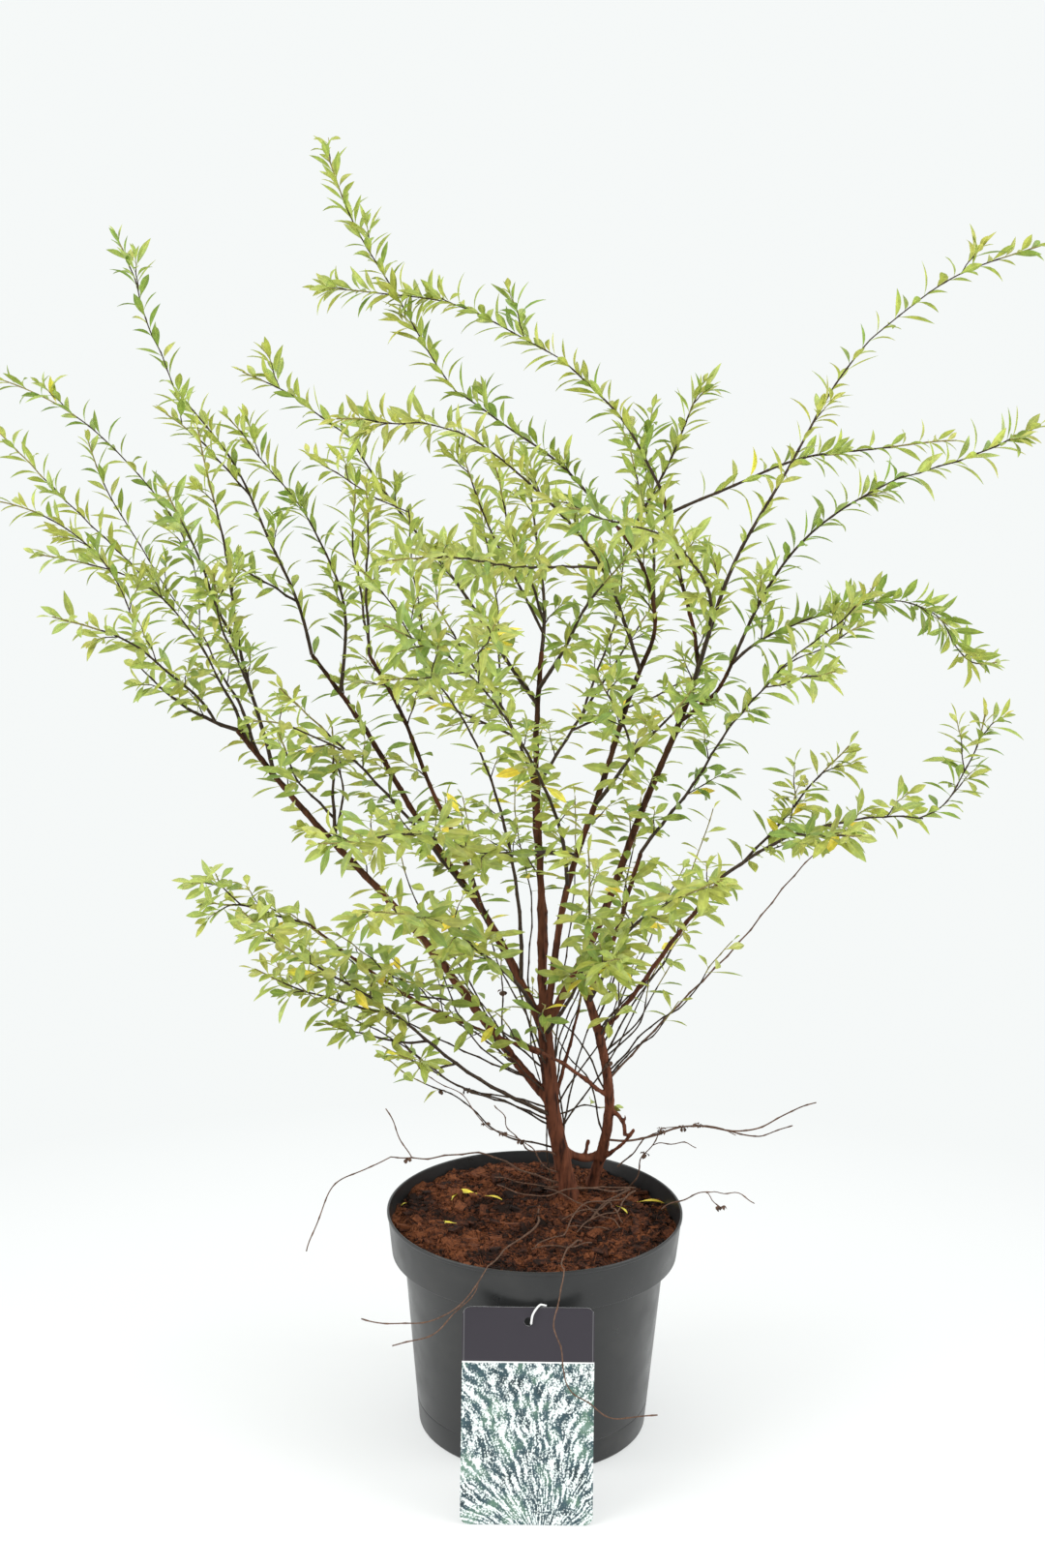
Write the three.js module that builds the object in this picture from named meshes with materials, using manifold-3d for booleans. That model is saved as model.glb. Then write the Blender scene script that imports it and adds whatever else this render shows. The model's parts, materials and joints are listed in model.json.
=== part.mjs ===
// A young spirea shrub in a round nursery pot: a short trunk and a second stem stand in the soil, bare
// boughs fan out from them, and thin arching shoots with narrow leaves make the crown. A picture label
// leans against the front of the pot. Millimetres, +Z up, origin at the middle of the pot's underside.
import * as THREE from "three";
import { mergeVertices } from "three/addons/utils/BufferGeometryUtils.js";
import Module from "manifold-3d";

const GAP = 0.35; // clear space kept between one piece and the next
const SAME_CORNER = 1e-4; // corners of a solid closer than this are one corner

// The pot: a tapered wall under a wider band, one profile turned about the axis.
const POT_HEIGHT = 143;
const POT_RIM_RADIUS = 92.9;
const POT_BASE_RADIUS = 72.3;
const POT_WALL = 1.4;
const BAND_HEIGHT = 27.5;
const BAND_FOOT_RADIUS = 89.6;
const WALL_TOP_RADIUS = 82;
const RIM_ROUNDING = { inward: 0.4, down: 1 };
const FOOT_BEVEL = 1.5;
const FLOOR_THICKNESS = 3;
const DRAIN_RADIUS = 58;
const DRAIN_WIDTH = 9;
const DRAIN_DEPTH = 1.5;
const DRAIN_SLOPE = 1;
const DRAIN_HOLES = 6;
const DRAIN_HOLE_RADIUS = 3;
const DRAIN_HOLE_SIDES = 6;
const POT_SIDES = 36;

// The soil fills the pot to just under the rim and is flat where the stems stand.
const SOIL_LEVEL = 133;
const SOIL_FLAT_RADIUS = 66;
const SOIL_EDGE_DROP = 3;

// The stems are cut off level with the soil by a block that lies under its surface round their feet.
const GROUND_BLOCK = { x: 30, y: 40, side: 100, depth: 40 };

// The label: a card that stands on the table and leans on the pot, and the tie through its hole.
const CARD_WIDTH = 78;
const CARD_HEIGHT = 126;
const CARD_THICKNESS = 0.8;
const CARD_CORNER = 5;
const CARD_CORNER_CUTS = 4;
const CARD_FOOT = { x: -3.5, y: -128.5, z: 0.3 };
const CARD_LEAN = THREE.MathUtils.degToRad(16.5);
const CARD_HOLE_RADIUS = 2.5;
const CARD_HOLE_DROP = 8.5;
const TIE_RADIUS = 0.75;
const TIE_SIDES = 5;
const TIE_STEPS = 10;

// Colours and finishes.
const POT_BLACK = { color: 0x3b3c3d, roughness: 0.55, metalness: 0 };
const SOIL_BROWN = { color: 0x5a3222, roughness: 0.95, metalness: 0 };
const CARD_PLUM = { color: 0x4a4650, roughness: 0.45, metalness: 0 };
const TIE_WHITE = { color: 0xf0f0ee, roughness: 0.4, metalness: 0 };
const BARK_BROWN = { color: 0x6b3f2c, roughness: 0.8, metalness: 0 };
const DRY_BROWN = { color: 0x8a6248, roughness: 0.85, metalness: 0 };
const LEAF_GREEN = { color: 0x96b950, roughness: 0.6, metalness: 0 };

// How finely limbs are cut into flat faces.
const STEM_SIDES = 9;
const STEM_RING_SPACING = 16;
const FLARE_REACH = 9;
const BOUGH_SIDES = 6;
const SHOOT_SIDES = 3;
const RING_SPACING = 38;

// Points this far apart along a limb are what other limbs, twigs and leaves keep clear of.
const SAMPLE_SPACING = 3;
const CLEARANCE = 0.8;

// Shoots, and the side twigs and leaves that the growing rule adds to them.
const SHOOT_FOOT_RADIUS = 1.5;
const SHOOT_TIP_RADIUS = 0.95;
const SIDE_SHOOT_SHARE = 0.85;
const DRY_FOOT_RADIUS = 1.1;
const DRY_TIP_RADIUS = 0.7;
const TWIG_SPACING = 120;
const FIRST_TWIG = { from: 0.3, to: 0.6 };
const TWIG_LENGTH = 34;
const TWIG_LENGTHS = { from: 0.75, to: 1.25 };
const TWIG_BARE = 8;
const TWIG_FOOT_RADIUS = 0.5;
const TWIG_FOOT_SAMPLES = 2;
const TWIG_ANGLE = THREE.MathUtils.degToRad(42);
const LEAF_SPACING = 23;
const LEAF_STAGGER = 0.3;
const LEAF_ANGLE = THREE.MathUtils.degToRad(52);
const LEAF_ANGLES = { from: 0.8, to: 1.2 };
const LAST_LEAF_ANGLE = 0.1;
const LEAF_SKYWARD = 0.7;
const LEAF_SIZES = { from: 0.85, to: 1.15 };
const LEAF_LENGTH = { low: 34, high: 28 };
const LEAF_WIDTH = { low: 11.5, high: 8.5 };
const LEAF_SIZES_CHANGE = { from: 380, to: 560 };
const LEAF_KEEL = 0.085;
const LEAF_SINK = { side: 0.35, last: 1.6 };
const LEAF_WIDEST = 0.5;
const LAST_LEAF_COVER = 15;
const LEAF_DROOP = 0.09;

// Places along a leaf that are tested for room, and how broad it is there, against its greatest width.
const LEAF_PLACES = [
  { share: 0.3, breadth: 0.7 },
  { share: 0.5, breadth: 1 },
  { share: 0.75, breadth: 0.7 },
  { share: 1, breadth: 0.2 },
];

// Where each kind of draw starts counting, and how far apart the seeds of two masses are.
const DRAWS = { firstTwig: 1, twigFace: 2, twigLength: 30, leafAngle: 50, leafSize: 70 };
const SEED_STEP = { twigs: 10, leaves: 20 };

// The stems. Each row: foot and tip, how far its middle stands off the straight line, its radius at
// its foot and its tip, and how much its foot flares.
const STEMS = {
  trunk: [[24.3, 35.3, 126], [5, 30, 250], [-2, 0, 0], 5.2, 4.3, 4.5],
  stem_right: [[34, 53, 126], [30, 15, 280], [14, 2, 0], 3.6, 2.6, 2.5],
};

// Bare boughs. Each row: what it grows from and how far along that, where it ends, how far its middle
// stands off the straight line, and its radius at its foot and its tip.
const BOUGHS = {
  bough_left: ["trunk", 0.6, [-190, 60, 435], [0, 0, 2], 3.1, 1.8],
  bough_left_middle: ["trunk", 1, [-145, 80, 480], [4, 0, 4], 2.9, 1.5],
  bough_left_inner: ["bough_left_middle", 0.3, [-105, 25, 490], [2, 0, 4], 1.9, 1.3],
  bough_centre: ["trunk", 1, [0, 75, 485], [-4, 0, 0], 3, 1.7],
  bough_right_inner: ["trunk", 1, [65, 45, 490], [-8, 0, 4], 2.7, 1.6],
  bough_right: ["trunk", 1, [95, 5, 495], [6, 0, 2], 3.1, 1.8],
  bough_right_outer: ["stem_right", 0.98, [60, -20, 380], [2, 0, 0], 1.9, 1.5],
  bough_low_right: ["stem_right", 0.8, [105, -70, 380], [2, 0, 2], 1.8, 1.4],
  bough_low_left: ["trunk", 0.86, [-135, -45, 340], [-4, 0, -8], 1.7, 1.3],
  bough_top: ["bough_right_inner", 1, [45, 60, 565], [12, 0, -2], 1.5, 1.3],
  bough_arch: ["bough_right", 0.97, [70, 40, 590], [2, 0, 0], 1.5, 1.3],
  bough_right_middle: ["bough_right", 0.83, [110, -35, 500], [4, 0, -2], 1.5, 1.3],
  bough_back: ["trunk", 0.94, [-5, 125, 395], [2, -8, 0], 2.4, 1.6],
};

// Leafy masses. The first row of each is the stem that leaves the bough or trunk, and the others
// branch from it, or from one another, by number. Each row: what it grows from and how far along
// that, where it ends, how far its middle stands off the straight line, and its leafless length.
const MASSES = {
  left_low: [
    ["bough_left", 1, [-245, 30, 480], [-4, 0, -4], 14],
    [0, 0.97, [-325, 20, 580], [16, 0, 20], 8],
    [0, 0.19, [-275, -70, 525], [8, 4, 8], 14],
  ],
  left_middle: [
    ["bough_left", 0.97, [-215, 70, 490], [2, 0, 0], 24],
    [0, 0.98, [-340, 95, 615], [2, 0, 2], 8],
    [0, 0.73, [-310, 50, 545], [14, 0, 14], 12],
  ],
  left_high: [
    ["bough_left", 0.93, [-220, 110, 490], [2, 0, 0], 30],
    [0, 1, [-350, 150, 645], [32, -2, 16], 8],
    [0, 1, [-290, 120, 610], [-6, 0, -4], 14],
  ],
  left_upright: [
    ["bough_left", 0.88, [-205, 20, 625], [-2, 0, 2], 30],
    [0, 0.26, [-190, -30, 545], [-4, 0, 0], 14],
    [0, 0.37, [-205, -100, 600], [-2, 0, 2], 14],
  ],
  left_under: [
    ["bough_left", 0.69, [-128, 30, 444], [0, 0, 2], 40],
    [0, 0.21, [-155, -30, 455], [-4, 2, -4], 30],
    [0, 0.1, [-130, 40, 430], [6, 0, -2], 20],
  ],
  left_reach: [
    ["bough_left_middle", 1, [-230, 90, 645], [10, 0, 6], 12],
    [0, 1, [-265, 105, 735], [0, 0, 0], 4],
    [0, 0.18, [-185, 40, 540], [0, 0, 0], 12],
    [0, 0.56, [-230, 60, 630], [2, 0, 2], 12],
  ],
  left_cluster: [
    ["bough_left_middle", 0.89, [-155, 50, 585], [14, 0, 6], 30],
    [0, 1, [-190, 40, 630], [0, 0, 0], 4],
  ],
  left_inside: [
    ["bough_left_middle", 0.34, [-155, -10, 475], [0, 0, 4], 60],
    [0, 0.61, [-165, -60, 465], [2, 0, 6], 14],
  ],
  left_inner: [
    ["bough_left_inner", 1, [-105, 10, 595], [0, 0, 0], 12],
    [0, 0.11, [-115, 60, 595], [-4, 0, -4], 14],
  ],
  centre_left: [
    ["bough_left_middle", 0.12, [-70, -15, 490], [16, 0, 14], 70],
    [0, 1, [-80, 5, 580], [0, 0, 0], 4],
    [1, 0.98, [-142, 45, 608], [-2, 0, -2], 4],
    [0, 0.98, [-105, -40, 550], [2, 0, 4], 12],
  ],
  centre_left_high: [
    ["bough_centre", 0.86, [-125, 70, 625], [-2, 0, 2], 20],
    [0, 0.95, [-185, 75, 655], [2, 0, 2], 8],
  ],
  centre: [
    ["bough_centre", 1, [-15, 165, 605], [6, 0, 0], 14],
    [0, 0.08, [-55, 100, 615], [-2, 0, -2], 16],
    [0, 0.14, [-30, 30, 605], [-2, 0, 0], 16],
  ],
  centre_right: [
    ["bough_centre", 0.9, [45, -60, 560], [0, 0, 4], 30],
  ],
  front_left: [
    ["bough_right_inner", 0.37, [-45, -130, 510], [10, 0, 12], 50],
    [0, 0.99, [-80, -215, 545], [2, 0, 2], 8],
    [0, 0.97, [-80, -200, 515], [0, 0, 0], 12],
    [0, 0.91, [-25, -235, 550], [-2, 0, 2], 14],
  ],
  right_upright: [
    ["bough_top", 0.36, [50, 140, 620], [6, 0, 0], 16],
  ],
  top: [
    ["bough_top", 1, [-55, 75, 645], [4, 0, 4], 12],
    [0, 1, [-135, 80, 790], [-6, 0, -2], 4],
  ],
  right_crest: [
    ["bough_top", 0.9, [94, 50, 653], [2, 0, 2], 16],
  ],
  front_top: [
    ["bough_right_inner", 0.95, [-50, -60, 630], [12, 0, 16], 24],
    [0, 0.99, [-110, -130, 640], [0, 0, 2], 6],
    [0, 0.34, [-80, -200, 575], [-4, 0, 2], 50],
  ],
  arch: [
    ["bough_arch", 1, [10, 55, 665], [4, 0, 4], 12],
    [0, 1, [-140, 80, 705], [2, 0, 12], 4],
  ],
  right_arm: [
    ["bough_arch", 0.86, [250, 60, 620], [-4, 0, 10], 20],
  ],
  right_high: [
    ["bough_right", 1, [190, 30, 680], [-8, 0, 6], 16],
    [0, 1, [290, 45, 735], [-4, 0, 6], 4],
  ],
  front_right: [
    ["bough_right", 0.93, [45, -170, 590], [18, -6, 20], 60],
    [0, 0.99, [10, -225, 605], [0, 0, 0], 4],
  ],
  right_reach: [
    ["bough_right_middle", 1, [195, -80, 610], [-10, 0, 12], 14],
    [0, 0.98, [260, -110, 640], [2, 0, -2], 4],
  ],
  right_droop: [
    ["bough_right_middle", 0.93, [205, 0, 530], [-8, 0, 6], 14],
    [0, 1, [245, 15, 505], [4, 0, 6], 4],
    [1, 1, [275, 25, 490], [-2, 0, -6], 4],
  ],
  right_outer: [
    ["bough_right_outer", 1, [135, -60, 500], [0, 0, 2], 14],
    [0, 1, [180, -90, 550], [2, 0, 0], 8],
    [0, 0.99, [185, -30, 520], [0, 0, 0], 10],
    [0, 0.89, [155, -130, 510], [0, 0, 0], 12],
  ],
  right_under: [
    ["bough_right_inner", 0.59, [80, -110, 495], [2, 0, 2], 40],
    [0, 0.45, [30, -100, 500], [0, 0, 2], 14],
  ],
  low_right: [
    ["bough_low_right", 1, [210, -110, 425], [-2, 0, 12], 12],
    [0, 0.98, [245, -90, 480], [4, -2, -10], 4],
    [0, 0.1, [175, -60, 455], [0, 0, 0], 14],
    [0, 0.36, [170, -150, 425], [0, 0, 0], 14],
  ],
  low_right_front: [
    ["stem_right", 0.96, [95, -170, 405], [-6, 0, 12], 70],
  ],
  low_centre: [
    ["trunk", 0.97, [25, -130, 410], [12, 0, 2], 60],
    [0, 0.28, [45, -120, 345], [-2, 0, 4], 20],
  ],
  low_left: [
    ["bough_low_left", 1, [-190, -70, 360], [0, 0, 2], 10],
    [0, 0.7, [-185, -80, 380], [-2, 0, 0], 10],
  ],
  low_left_front: [
    ["trunk", 0.53, [-165, -120, 370], [-8, 0, -2], 130],
    [0, 0.52, [-166, -62, 318], [0, 0, -4], 24],
    [0, 0.4, [-126, -52, 282], [0, 0, -4], 40],
    [0, 0.3, [-82, -62, 266], [0, 0, -4], 40],
  ],
  front_low: [
    ["bough_right_inner", 0.45, [-115, -200, 430], [-6, 0, 4], 70],
  ],
  front_low_left: [
    ["bough_left_middle", 0.05, [-95, -170, 385], [4, 0, 18], 70],
  ],
  back_left: [
    ["bough_back", 1, [-78, 185, 505], [4, 0, 2], 16],
    [0, 0.35, [-44, 180, 575], [4, 0, 0], 12],
    [0, 0.18, [-137, 165, 450], [2, 0, 6], 14],
  ],
  back_right: [
    ["bough_back", 0.92, [87, 190, 515], [-2, 0, 0], 24],
    [0, 0.36, [57, 185, 565], [6, 0, -2], 12],
    [0, 0.29, [117, 185, 455], [0, 0, 0], 14],
  ],
};

// Dead leafless twigs, in rows like those of the masses. Two of them lie on the soil and hang over
// the front of the rim, so their first rows start at a point.
const BARE_TWIGS = {
  bare_left: [
    ["trunk", 0.14, [-90, -10, 180], [0, 0, 6]],
    [0, 1, [-140, -40, 130], [-10, 0, 6]],
    [0, 0.88, [-95, 20, 200], [0, 0, 0]],
  ],
  bare_right: [
    ["stem_right", 0.3, [180, 40, 200], [4, 0, -6]],
    [0, 0.54, [160, 0, 200], [2, 0, -4]],
  ],
  bare_upright: [
    ["stem_right", 0.58, [180, 60, 365], [0, 0, 0]],
  ],
  bare_front: [
    [[62, 45, 136.5], 0, [17, -93, 146], [-14, -3, -5]],
    [0, 1, [18, -124, 91], [-4, -6, 2]],
    [1, 1, [72, -125, 70], [-8, -4, -6]],
  ],
  bare_front_left: [
    [[3, 19, 135.2], 0, [-28, -91, 146], [4, 0, -4]],
    [0, 1, [-101, -112, 122], [4, -4, -16]],
    [1, 0.1, [-83, -112, 105], [8, -2, -4]],
  ],
};

const wasm = await Module();
wasm.setup();

const vector = (xyz) => new THREE.Vector3(...xyz);

// A closed three.js geometry as a solid that can be joined and cut.
function solidOf(geometry) {
  const bare = geometry.clone();
  bare.deleteAttribute("normal");
  bare.deleteAttribute("uv");
  const merged = mergeVertices(bare, SAME_CORNER);
  return new wasm.Manifold(
    new wasm.Mesh({
      numProp: 3,
      vertProperties: merged.attributes.position.array,
      triVerts: new Uint32Array(merged.index.array),
    }),
  );
}

function geometryOf(solid) {
  const { vertProperties, triVerts } = solid.getMesh();
  const geometry = new THREE.BufferGeometry();
  geometry.setAttribute("position", new THREE.BufferAttribute(vertProperties, 3));
  geometry.setIndex(new THREE.BufferAttribute(triVerts, 1));
  const flat = geometry.toNonIndexed();
  flat.computeVertexNormals();
  return flat;
}

// The largest of the separate bodies that a cut leaves.
function largest(solid) {
  const bodies = solid.decompose();
  return bodies.reduce((best, body) => (body.volume() > best.volume() ? body : best));
}

// The same number between 0 and 1 every time for the same two keys: what a large sine leaves past its
// whole part.
function chance(seed, count) {
  const mixed = Math.sin(seed * 12.9898 + count * 78.233 + 0.5) * 43758.5453;
  return mixed - Math.floor(mixed);
}

function between({ from, to }, seed, count) {
  return THREE.MathUtils.lerp(from, to, chance(seed, count));
}

// The pot and its soil.

function turned(profile) {
  const points = profile.map(([radius, z]) => new THREE.Vector2(radius, z));
  return new THREE.LatheGeometry(points, POT_SIDES).rotateX(Math.PI / 2);
}

function innerWall(clear) {
  const inset = POT_WALL + clear;
  const ledge = POT_HEIGHT - BAND_HEIGHT + POT_WALL + clear;
  return [
    [POT_BASE_RADIUS - inset, FLOOR_THICKNESS + clear],
    [WALL_TOP_RADIUS - inset, ledge],
    [BAND_FOOT_RADIUS - inset, ledge + POT_WALL],
  ];
}

function potGeometry() {
  const drainEdge = DRAIN_RADIUS + DRAIN_WIDTH;
  const bandFoot = POT_HEIGHT - BAND_HEIGHT;
  const profile = [
    [0, 0],
    [DRAIN_RADIUS, 0],
    [DRAIN_RADIUS + DRAIN_SLOPE, DRAIN_DEPTH],
    [drainEdge - DRAIN_SLOPE, DRAIN_DEPTH],
    [drainEdge, 0],
    [POT_BASE_RADIUS - FOOT_BEVEL, 0],
    [POT_BASE_RADIUS, FOOT_BEVEL],
    [WALL_TOP_RADIUS, bandFoot],
    [BAND_FOOT_RADIUS, bandFoot],
    [POT_RIM_RADIUS, POT_HEIGHT - RIM_ROUNDING.down],
    [POT_RIM_RADIUS - RIM_ROUNDING.inward, POT_HEIGHT],
    [POT_RIM_RADIUS - POT_WALL, POT_HEIGHT],
    ...innerWall(0).reverse(),
    [0, FLOOR_THICKNESS],
  ];
  const holeAt = DRAIN_RADIUS + DRAIN_WIDTH / 2;
  const radius = DRAIN_HOLE_RADIUS;
  const drill = new THREE.CylinderGeometry(radius, radius, 4 * FLOOR_THICKNESS, DRAIN_HOLE_SIDES);
  drill.rotateX(Math.PI / 2);
  let pot = solidOf(turned(profile));
  for (let i = 0; i < DRAIN_HOLES; i++) {
    const turn = (2 * Math.PI * (i + 0.5)) / DRAIN_HOLES;
    const hole = drill.clone().translate(holeAt * Math.cos(turn), holeAt * Math.sin(turn), 0);
    pot = pot.subtract(solidOf(hole));
  }
  return geometryOf(pot);
}

function soilGeometry() {
  const wall = innerWall(GAP);
  const [footRadius, footHeight] = wall.at(-1);
  const edgeHeight = SOIL_LEVEL - SOIL_EDGE_DROP;
  const rise = (edgeHeight - footHeight) / (POT_HEIGHT - footHeight);
  const edgeRadius = THREE.MathUtils.lerp(footRadius, POT_RIM_RADIUS - POT_WALL - GAP, rise);
  return turned([
    [0, FLOOR_THICKNESS + GAP],
    ...wall,
    [edgeRadius, edgeHeight],
    [SOIL_FLAT_RADIUS, SOIL_LEVEL],
    [0, SOIL_LEVEL],
  ]);
}

// The label and its tie.

function leanBack(geometry) {
  return geometry.rotateX(Math.PI / 2 - CARD_LEAN).translate(CARD_FOOT.x, CARD_FOOT.y, CARD_FOOT.z);
}

function cardGeometry() {
  const half = CARD_WIDTH / 2;
  const inner = half - CARD_CORNER;
  const top = CARD_HEIGHT - CARD_CORNER;
  const outline = new THREE.Shape();
  outline.moveTo(-inner, 0);
  outline.absarc(inner, CARD_CORNER, CARD_CORNER, -Math.PI / 2, 0);
  outline.absarc(inner, top, CARD_CORNER, 0, Math.PI / 2);
  outline.absarc(-inner, top, CARD_CORNER, Math.PI / 2, Math.PI);
  outline.absarc(-inner, CARD_CORNER, CARD_CORNER, Math.PI, 1.5 * Math.PI);
  const hole = new THREE.Path();
  hole.absarc(0, CARD_HEIGHT - CARD_HOLE_DROP, CARD_HOLE_RADIUS, 0, 2 * Math.PI, true);
  outline.holes.push(hole);
  const card = new THREE.ExtrudeGeometry(outline, {
    depth: CARD_THICKNESS,
    curveSegments: CARD_CORNER_CUTS,
    bevelEnabled: false,
  });
  return leanBack(card);
}

// The tie comes forward through the hole, runs up the card and over its top edge to the pot.
function tieGeometry() {
  const hole = CARD_HEIGHT - CARD_HOLE_DROP;
  const front = CARD_THICKNESS + TIE_RADIUS + GAP;
  const back = -TIE_RADIUS - GAP;
  const route = new THREE.CatmullRomCurve3([
    vector([0.2, hole - 0.4, back]),
    vector([0.2, hole - 0.9, front]),
    vector([2.4, hole + 5, front + 0.6]),
    vector([6.6, CARD_HEIGHT + 1.2, front - 0.4]),
    vector([10.2, CARD_HEIGHT + 0.6, back - 0.6]),
  ]);
  const tie = new THREE.ExtrudeGeometry(polygon(TIE_SIDES, TIE_RADIUS), {
    steps: TIE_STEPS,
    bevelEnabled: false,
    extrudePath: route,
  });
  return leanBack(tie);
}

// Limbs.

function polygon(sides, radius) {
  const corners = Array.from({ length: sides }, (_, i) => {
    const turn = (2 * Math.PI * i) / sides;
    return new THREE.Vector2(radius * Math.cos(turn), radius * Math.sin(turn));
  });
  return new THREE.Shape(corners);
}

// A limb is one smooth curve from its foot to its tip, bowed off the straight line and cut into a few
// straight lengths between rings.
function makeLimb(foot, tip, bow, footRadius, tipRadius, sides, spacing = RING_SPACING) {
  const middle = foot.clone().add(tip).multiplyScalar(0.5);
  const control = middle.addScaledVector(vector(bow), 2);
  const curve = new THREE.QuadraticBezierCurve3(foot, control, tip);
  const length = curve.getLength();
  const steps = Math.max(1, Math.round(length / spacing));
  const rings = curve.getSpacedPoints(steps);
  const frames = curve.computeFrenetFrames(steps);
  const radiusAt = (u) => THREE.MathUtils.lerp(footRadius, tipRadius, u);
  return { curve, length, steps, rings, frames, radiusAt, sides };
}

// The limb's solid: a section carried along the curve, each ring drawn in to the limb's radius there.
// grow makes it that much thicker and longer, as the space that its neighbours keep out of.
function limbSolid(limb, grow = 0) {
  const { curve, steps, rings, sides } = limb;
  const section = polygon(sides, 1);
  const geometry = new THREE.ExtrudeGeometry(section, { steps, bevelEnabled: false, extrudePath: curve });
  const position = geometry.getAttribute("position");
  const corner = new THREE.Vector3();
  for (let i = 0; i < position.count; i++) {
    corner.fromBufferAttribute(position, i);
    const distances = rings.map((ring) => ring.distanceTo(corner));
    const ring = distances.indexOf(Math.min(...distances));
    const radius = limb.radiusAt(ring / steps) + grow / Math.cos(Math.PI / sides);
    corner.sub(rings[ring]).multiplyScalar(radius).add(rings[ring]);
    if (ring === 0) corner.addScaledVector(curve.getTangentAt(0), -grow);
    if (ring === steps) corner.addScaledVector(curve.getTangentAt(1), grow);
    position.setXYZ(i, corner.x, corner.y, corner.z);
  }
  return solidOf(geometry);
}

// A place on a limb: the point on its axis, the way along it, and the way out through one of its faces.
function placeOn(limb, reach, face) {
  const share = THREE.MathUtils.clamp(reach / limb.length, 0, 1) * limb.steps;
  const ring = Math.min(Math.floor(share), limb.steps - 1);
  const point = limb.rings[ring].clone().lerp(limb.rings[ring + 1], share - ring);
  const along = limb.rings[ring + 1].clone().sub(limb.rings[ring]).normalize();
  const turn = (2 * Math.PI * (face + 0.5)) / limb.sides;
  const wayOut = (k) => {
    const way = limb.frames.normals[k].clone().multiplyScalar(Math.cos(turn));
    return way.addScaledVector(limb.frames.binormals[k], Math.sin(turn));
  };
  const out = wayOut(ring).lerp(wayOut(ring + 1), share - ring);
  out.addScaledVector(along, -out.dot(along)).normalize();
  return { point, along, out };
}

function limbSamples(limb) {
  const count = Math.max(2, Math.ceil(limb.length / SAMPLE_SPACING));
  return limb.curve.getSpacedPoints(count).map((point, i) => ({
    point,
    radius: limb.radiusAt(i / count),
    limb,
  }));
}

const limbs = new Map();
const occupied = [];

function register(name, limb, node) {
  limb.node = node;
  limb.name = name;
  limbs.set(name, limb);
  limb.samples = limbSamples(limb);
  occupied.push(...limb.samples);
  return limb;
}

// The two stems start under the soil's surface, are cut off level with it, and flare towards it.
for (const [name, [foot, tip, bow, footRadius, tipRadius, flare]] of Object.entries(STEMS)) {
  const limb = makeLimb(vector(foot), vector(tip), bow, footRadius, tipRadius, STEM_SIDES, STEM_RING_SPACING);
  const straight = limb.radiusAt;
  limb.radiusAt = (u) => straight(u) + flare * Math.exp((-u * limb.length) / FLARE_REACH);
  register(name, limb, name);
}

for (const [name, [from, at, tip, bow, footRadius, tipRadius]] of Object.entries(BOUGHS)) {
  const foot = limbs.get(from).curve.getPoint(at);
  register(name, makeLimb(foot, vector(tip), bow, footRadius, tipRadius, BOUGH_SIDES), name);
}

// The rows of one node as limbs. A row ends short of its tip by the part that its last leaf covers.
function registerRows(node, rows, footRadius, tipRadius, leafCover) {
  rows.forEach(([from, at, tip, bow, bare], i) => {
    const parent = limbs.get(Number.isInteger(from) ? `${node}/${from}` : from);
    const foot = Array.isArray(from) ? vector(from) : parent.curve.getPoint(at);
    const start = i === 0 ? footRadius : Math.min(footRadius * SIDE_SHOOT_SHARE, parent.radiusAt(at));
    const end = vector(tip);
    end.lerp(foot, leafCover / end.distanceTo(foot));
    const limb = makeLimb(foot, end, bow, start, tipRadius, SHOOT_SIDES);
    limb.bare = bare;
    limb.parent = parent;
    register(`${node}/${i}`, limb, node);
  });
}

for (const [node, rows] of Object.entries(MASSES)) {
  registerRows(node, rows, SHOOT_FOOT_RADIUS, SHOOT_TIP_RADIUS, LAST_LEAF_COVER);
}
for (const [node, rows] of Object.entries(BARE_TWIGS)) {
  registerRows(node, rows, DRY_FOOT_RADIUS, DRY_TIP_RADIUS, 0);
}

// Whether points of a new twig or leaf stay clear of everything placed so far but the limb it is on.
function staysClear(points, carrier) {
  return points.every(({ point, radius }) =>
    occupied.every((other) => {
      if (other.limb === carrier) return true;
      return point.distanceTo(other.point) > radius + other.radius + CLEARANCE;
    }),
  );
}

const STRAIGHT = [0, 0, 0];

// Side twigs: one every so often along a leafy shoot, leaving it at an angle through one of its faces.
function sideTwigs(limb, seed) {
  const twigs = [];
  const first = limb.bare + TWIG_SPACING * between(FIRST_TWIG, seed, DRAWS.firstTwig);
  for (let reach = first, i = 0; reach < limb.length - TWIG_LENGTH; reach += TWIG_SPACING, i++) {
    const face = Math.floor(limb.sides * chance(seed, i + DRAWS.twigFace));
    const { point: foot, along, out } = placeOn(limb, reach, face);
    const heading = along.multiplyScalar(Math.cos(TWIG_ANGLE)).addScaledVector(out, Math.sin(TWIG_ANGLE));
    const length = TWIG_LENGTH * between(TWIG_LENGTHS, seed, i + DRAWS.twigLength);
    const tip = foot.clone().addScaledVector(heading, length);
    const twig = makeLimb(foot, tip, STRAIGHT, TWIG_FOOT_RADIUS, SHOOT_TIP_RADIUS, SHOOT_SIDES, TWIG_LENGTH);
    twig.bare = TWIG_BARE;
    twig.node = limb.node;
    twig.samples = limbSamples(twig);
    if (!staysClear(twig.samples.slice(TWIG_FOOT_SAMPLES), limb)) continue;
    occupied.push(...twig.samples);
    twigs.push(twig);
  }
  return twigs;
}

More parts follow.
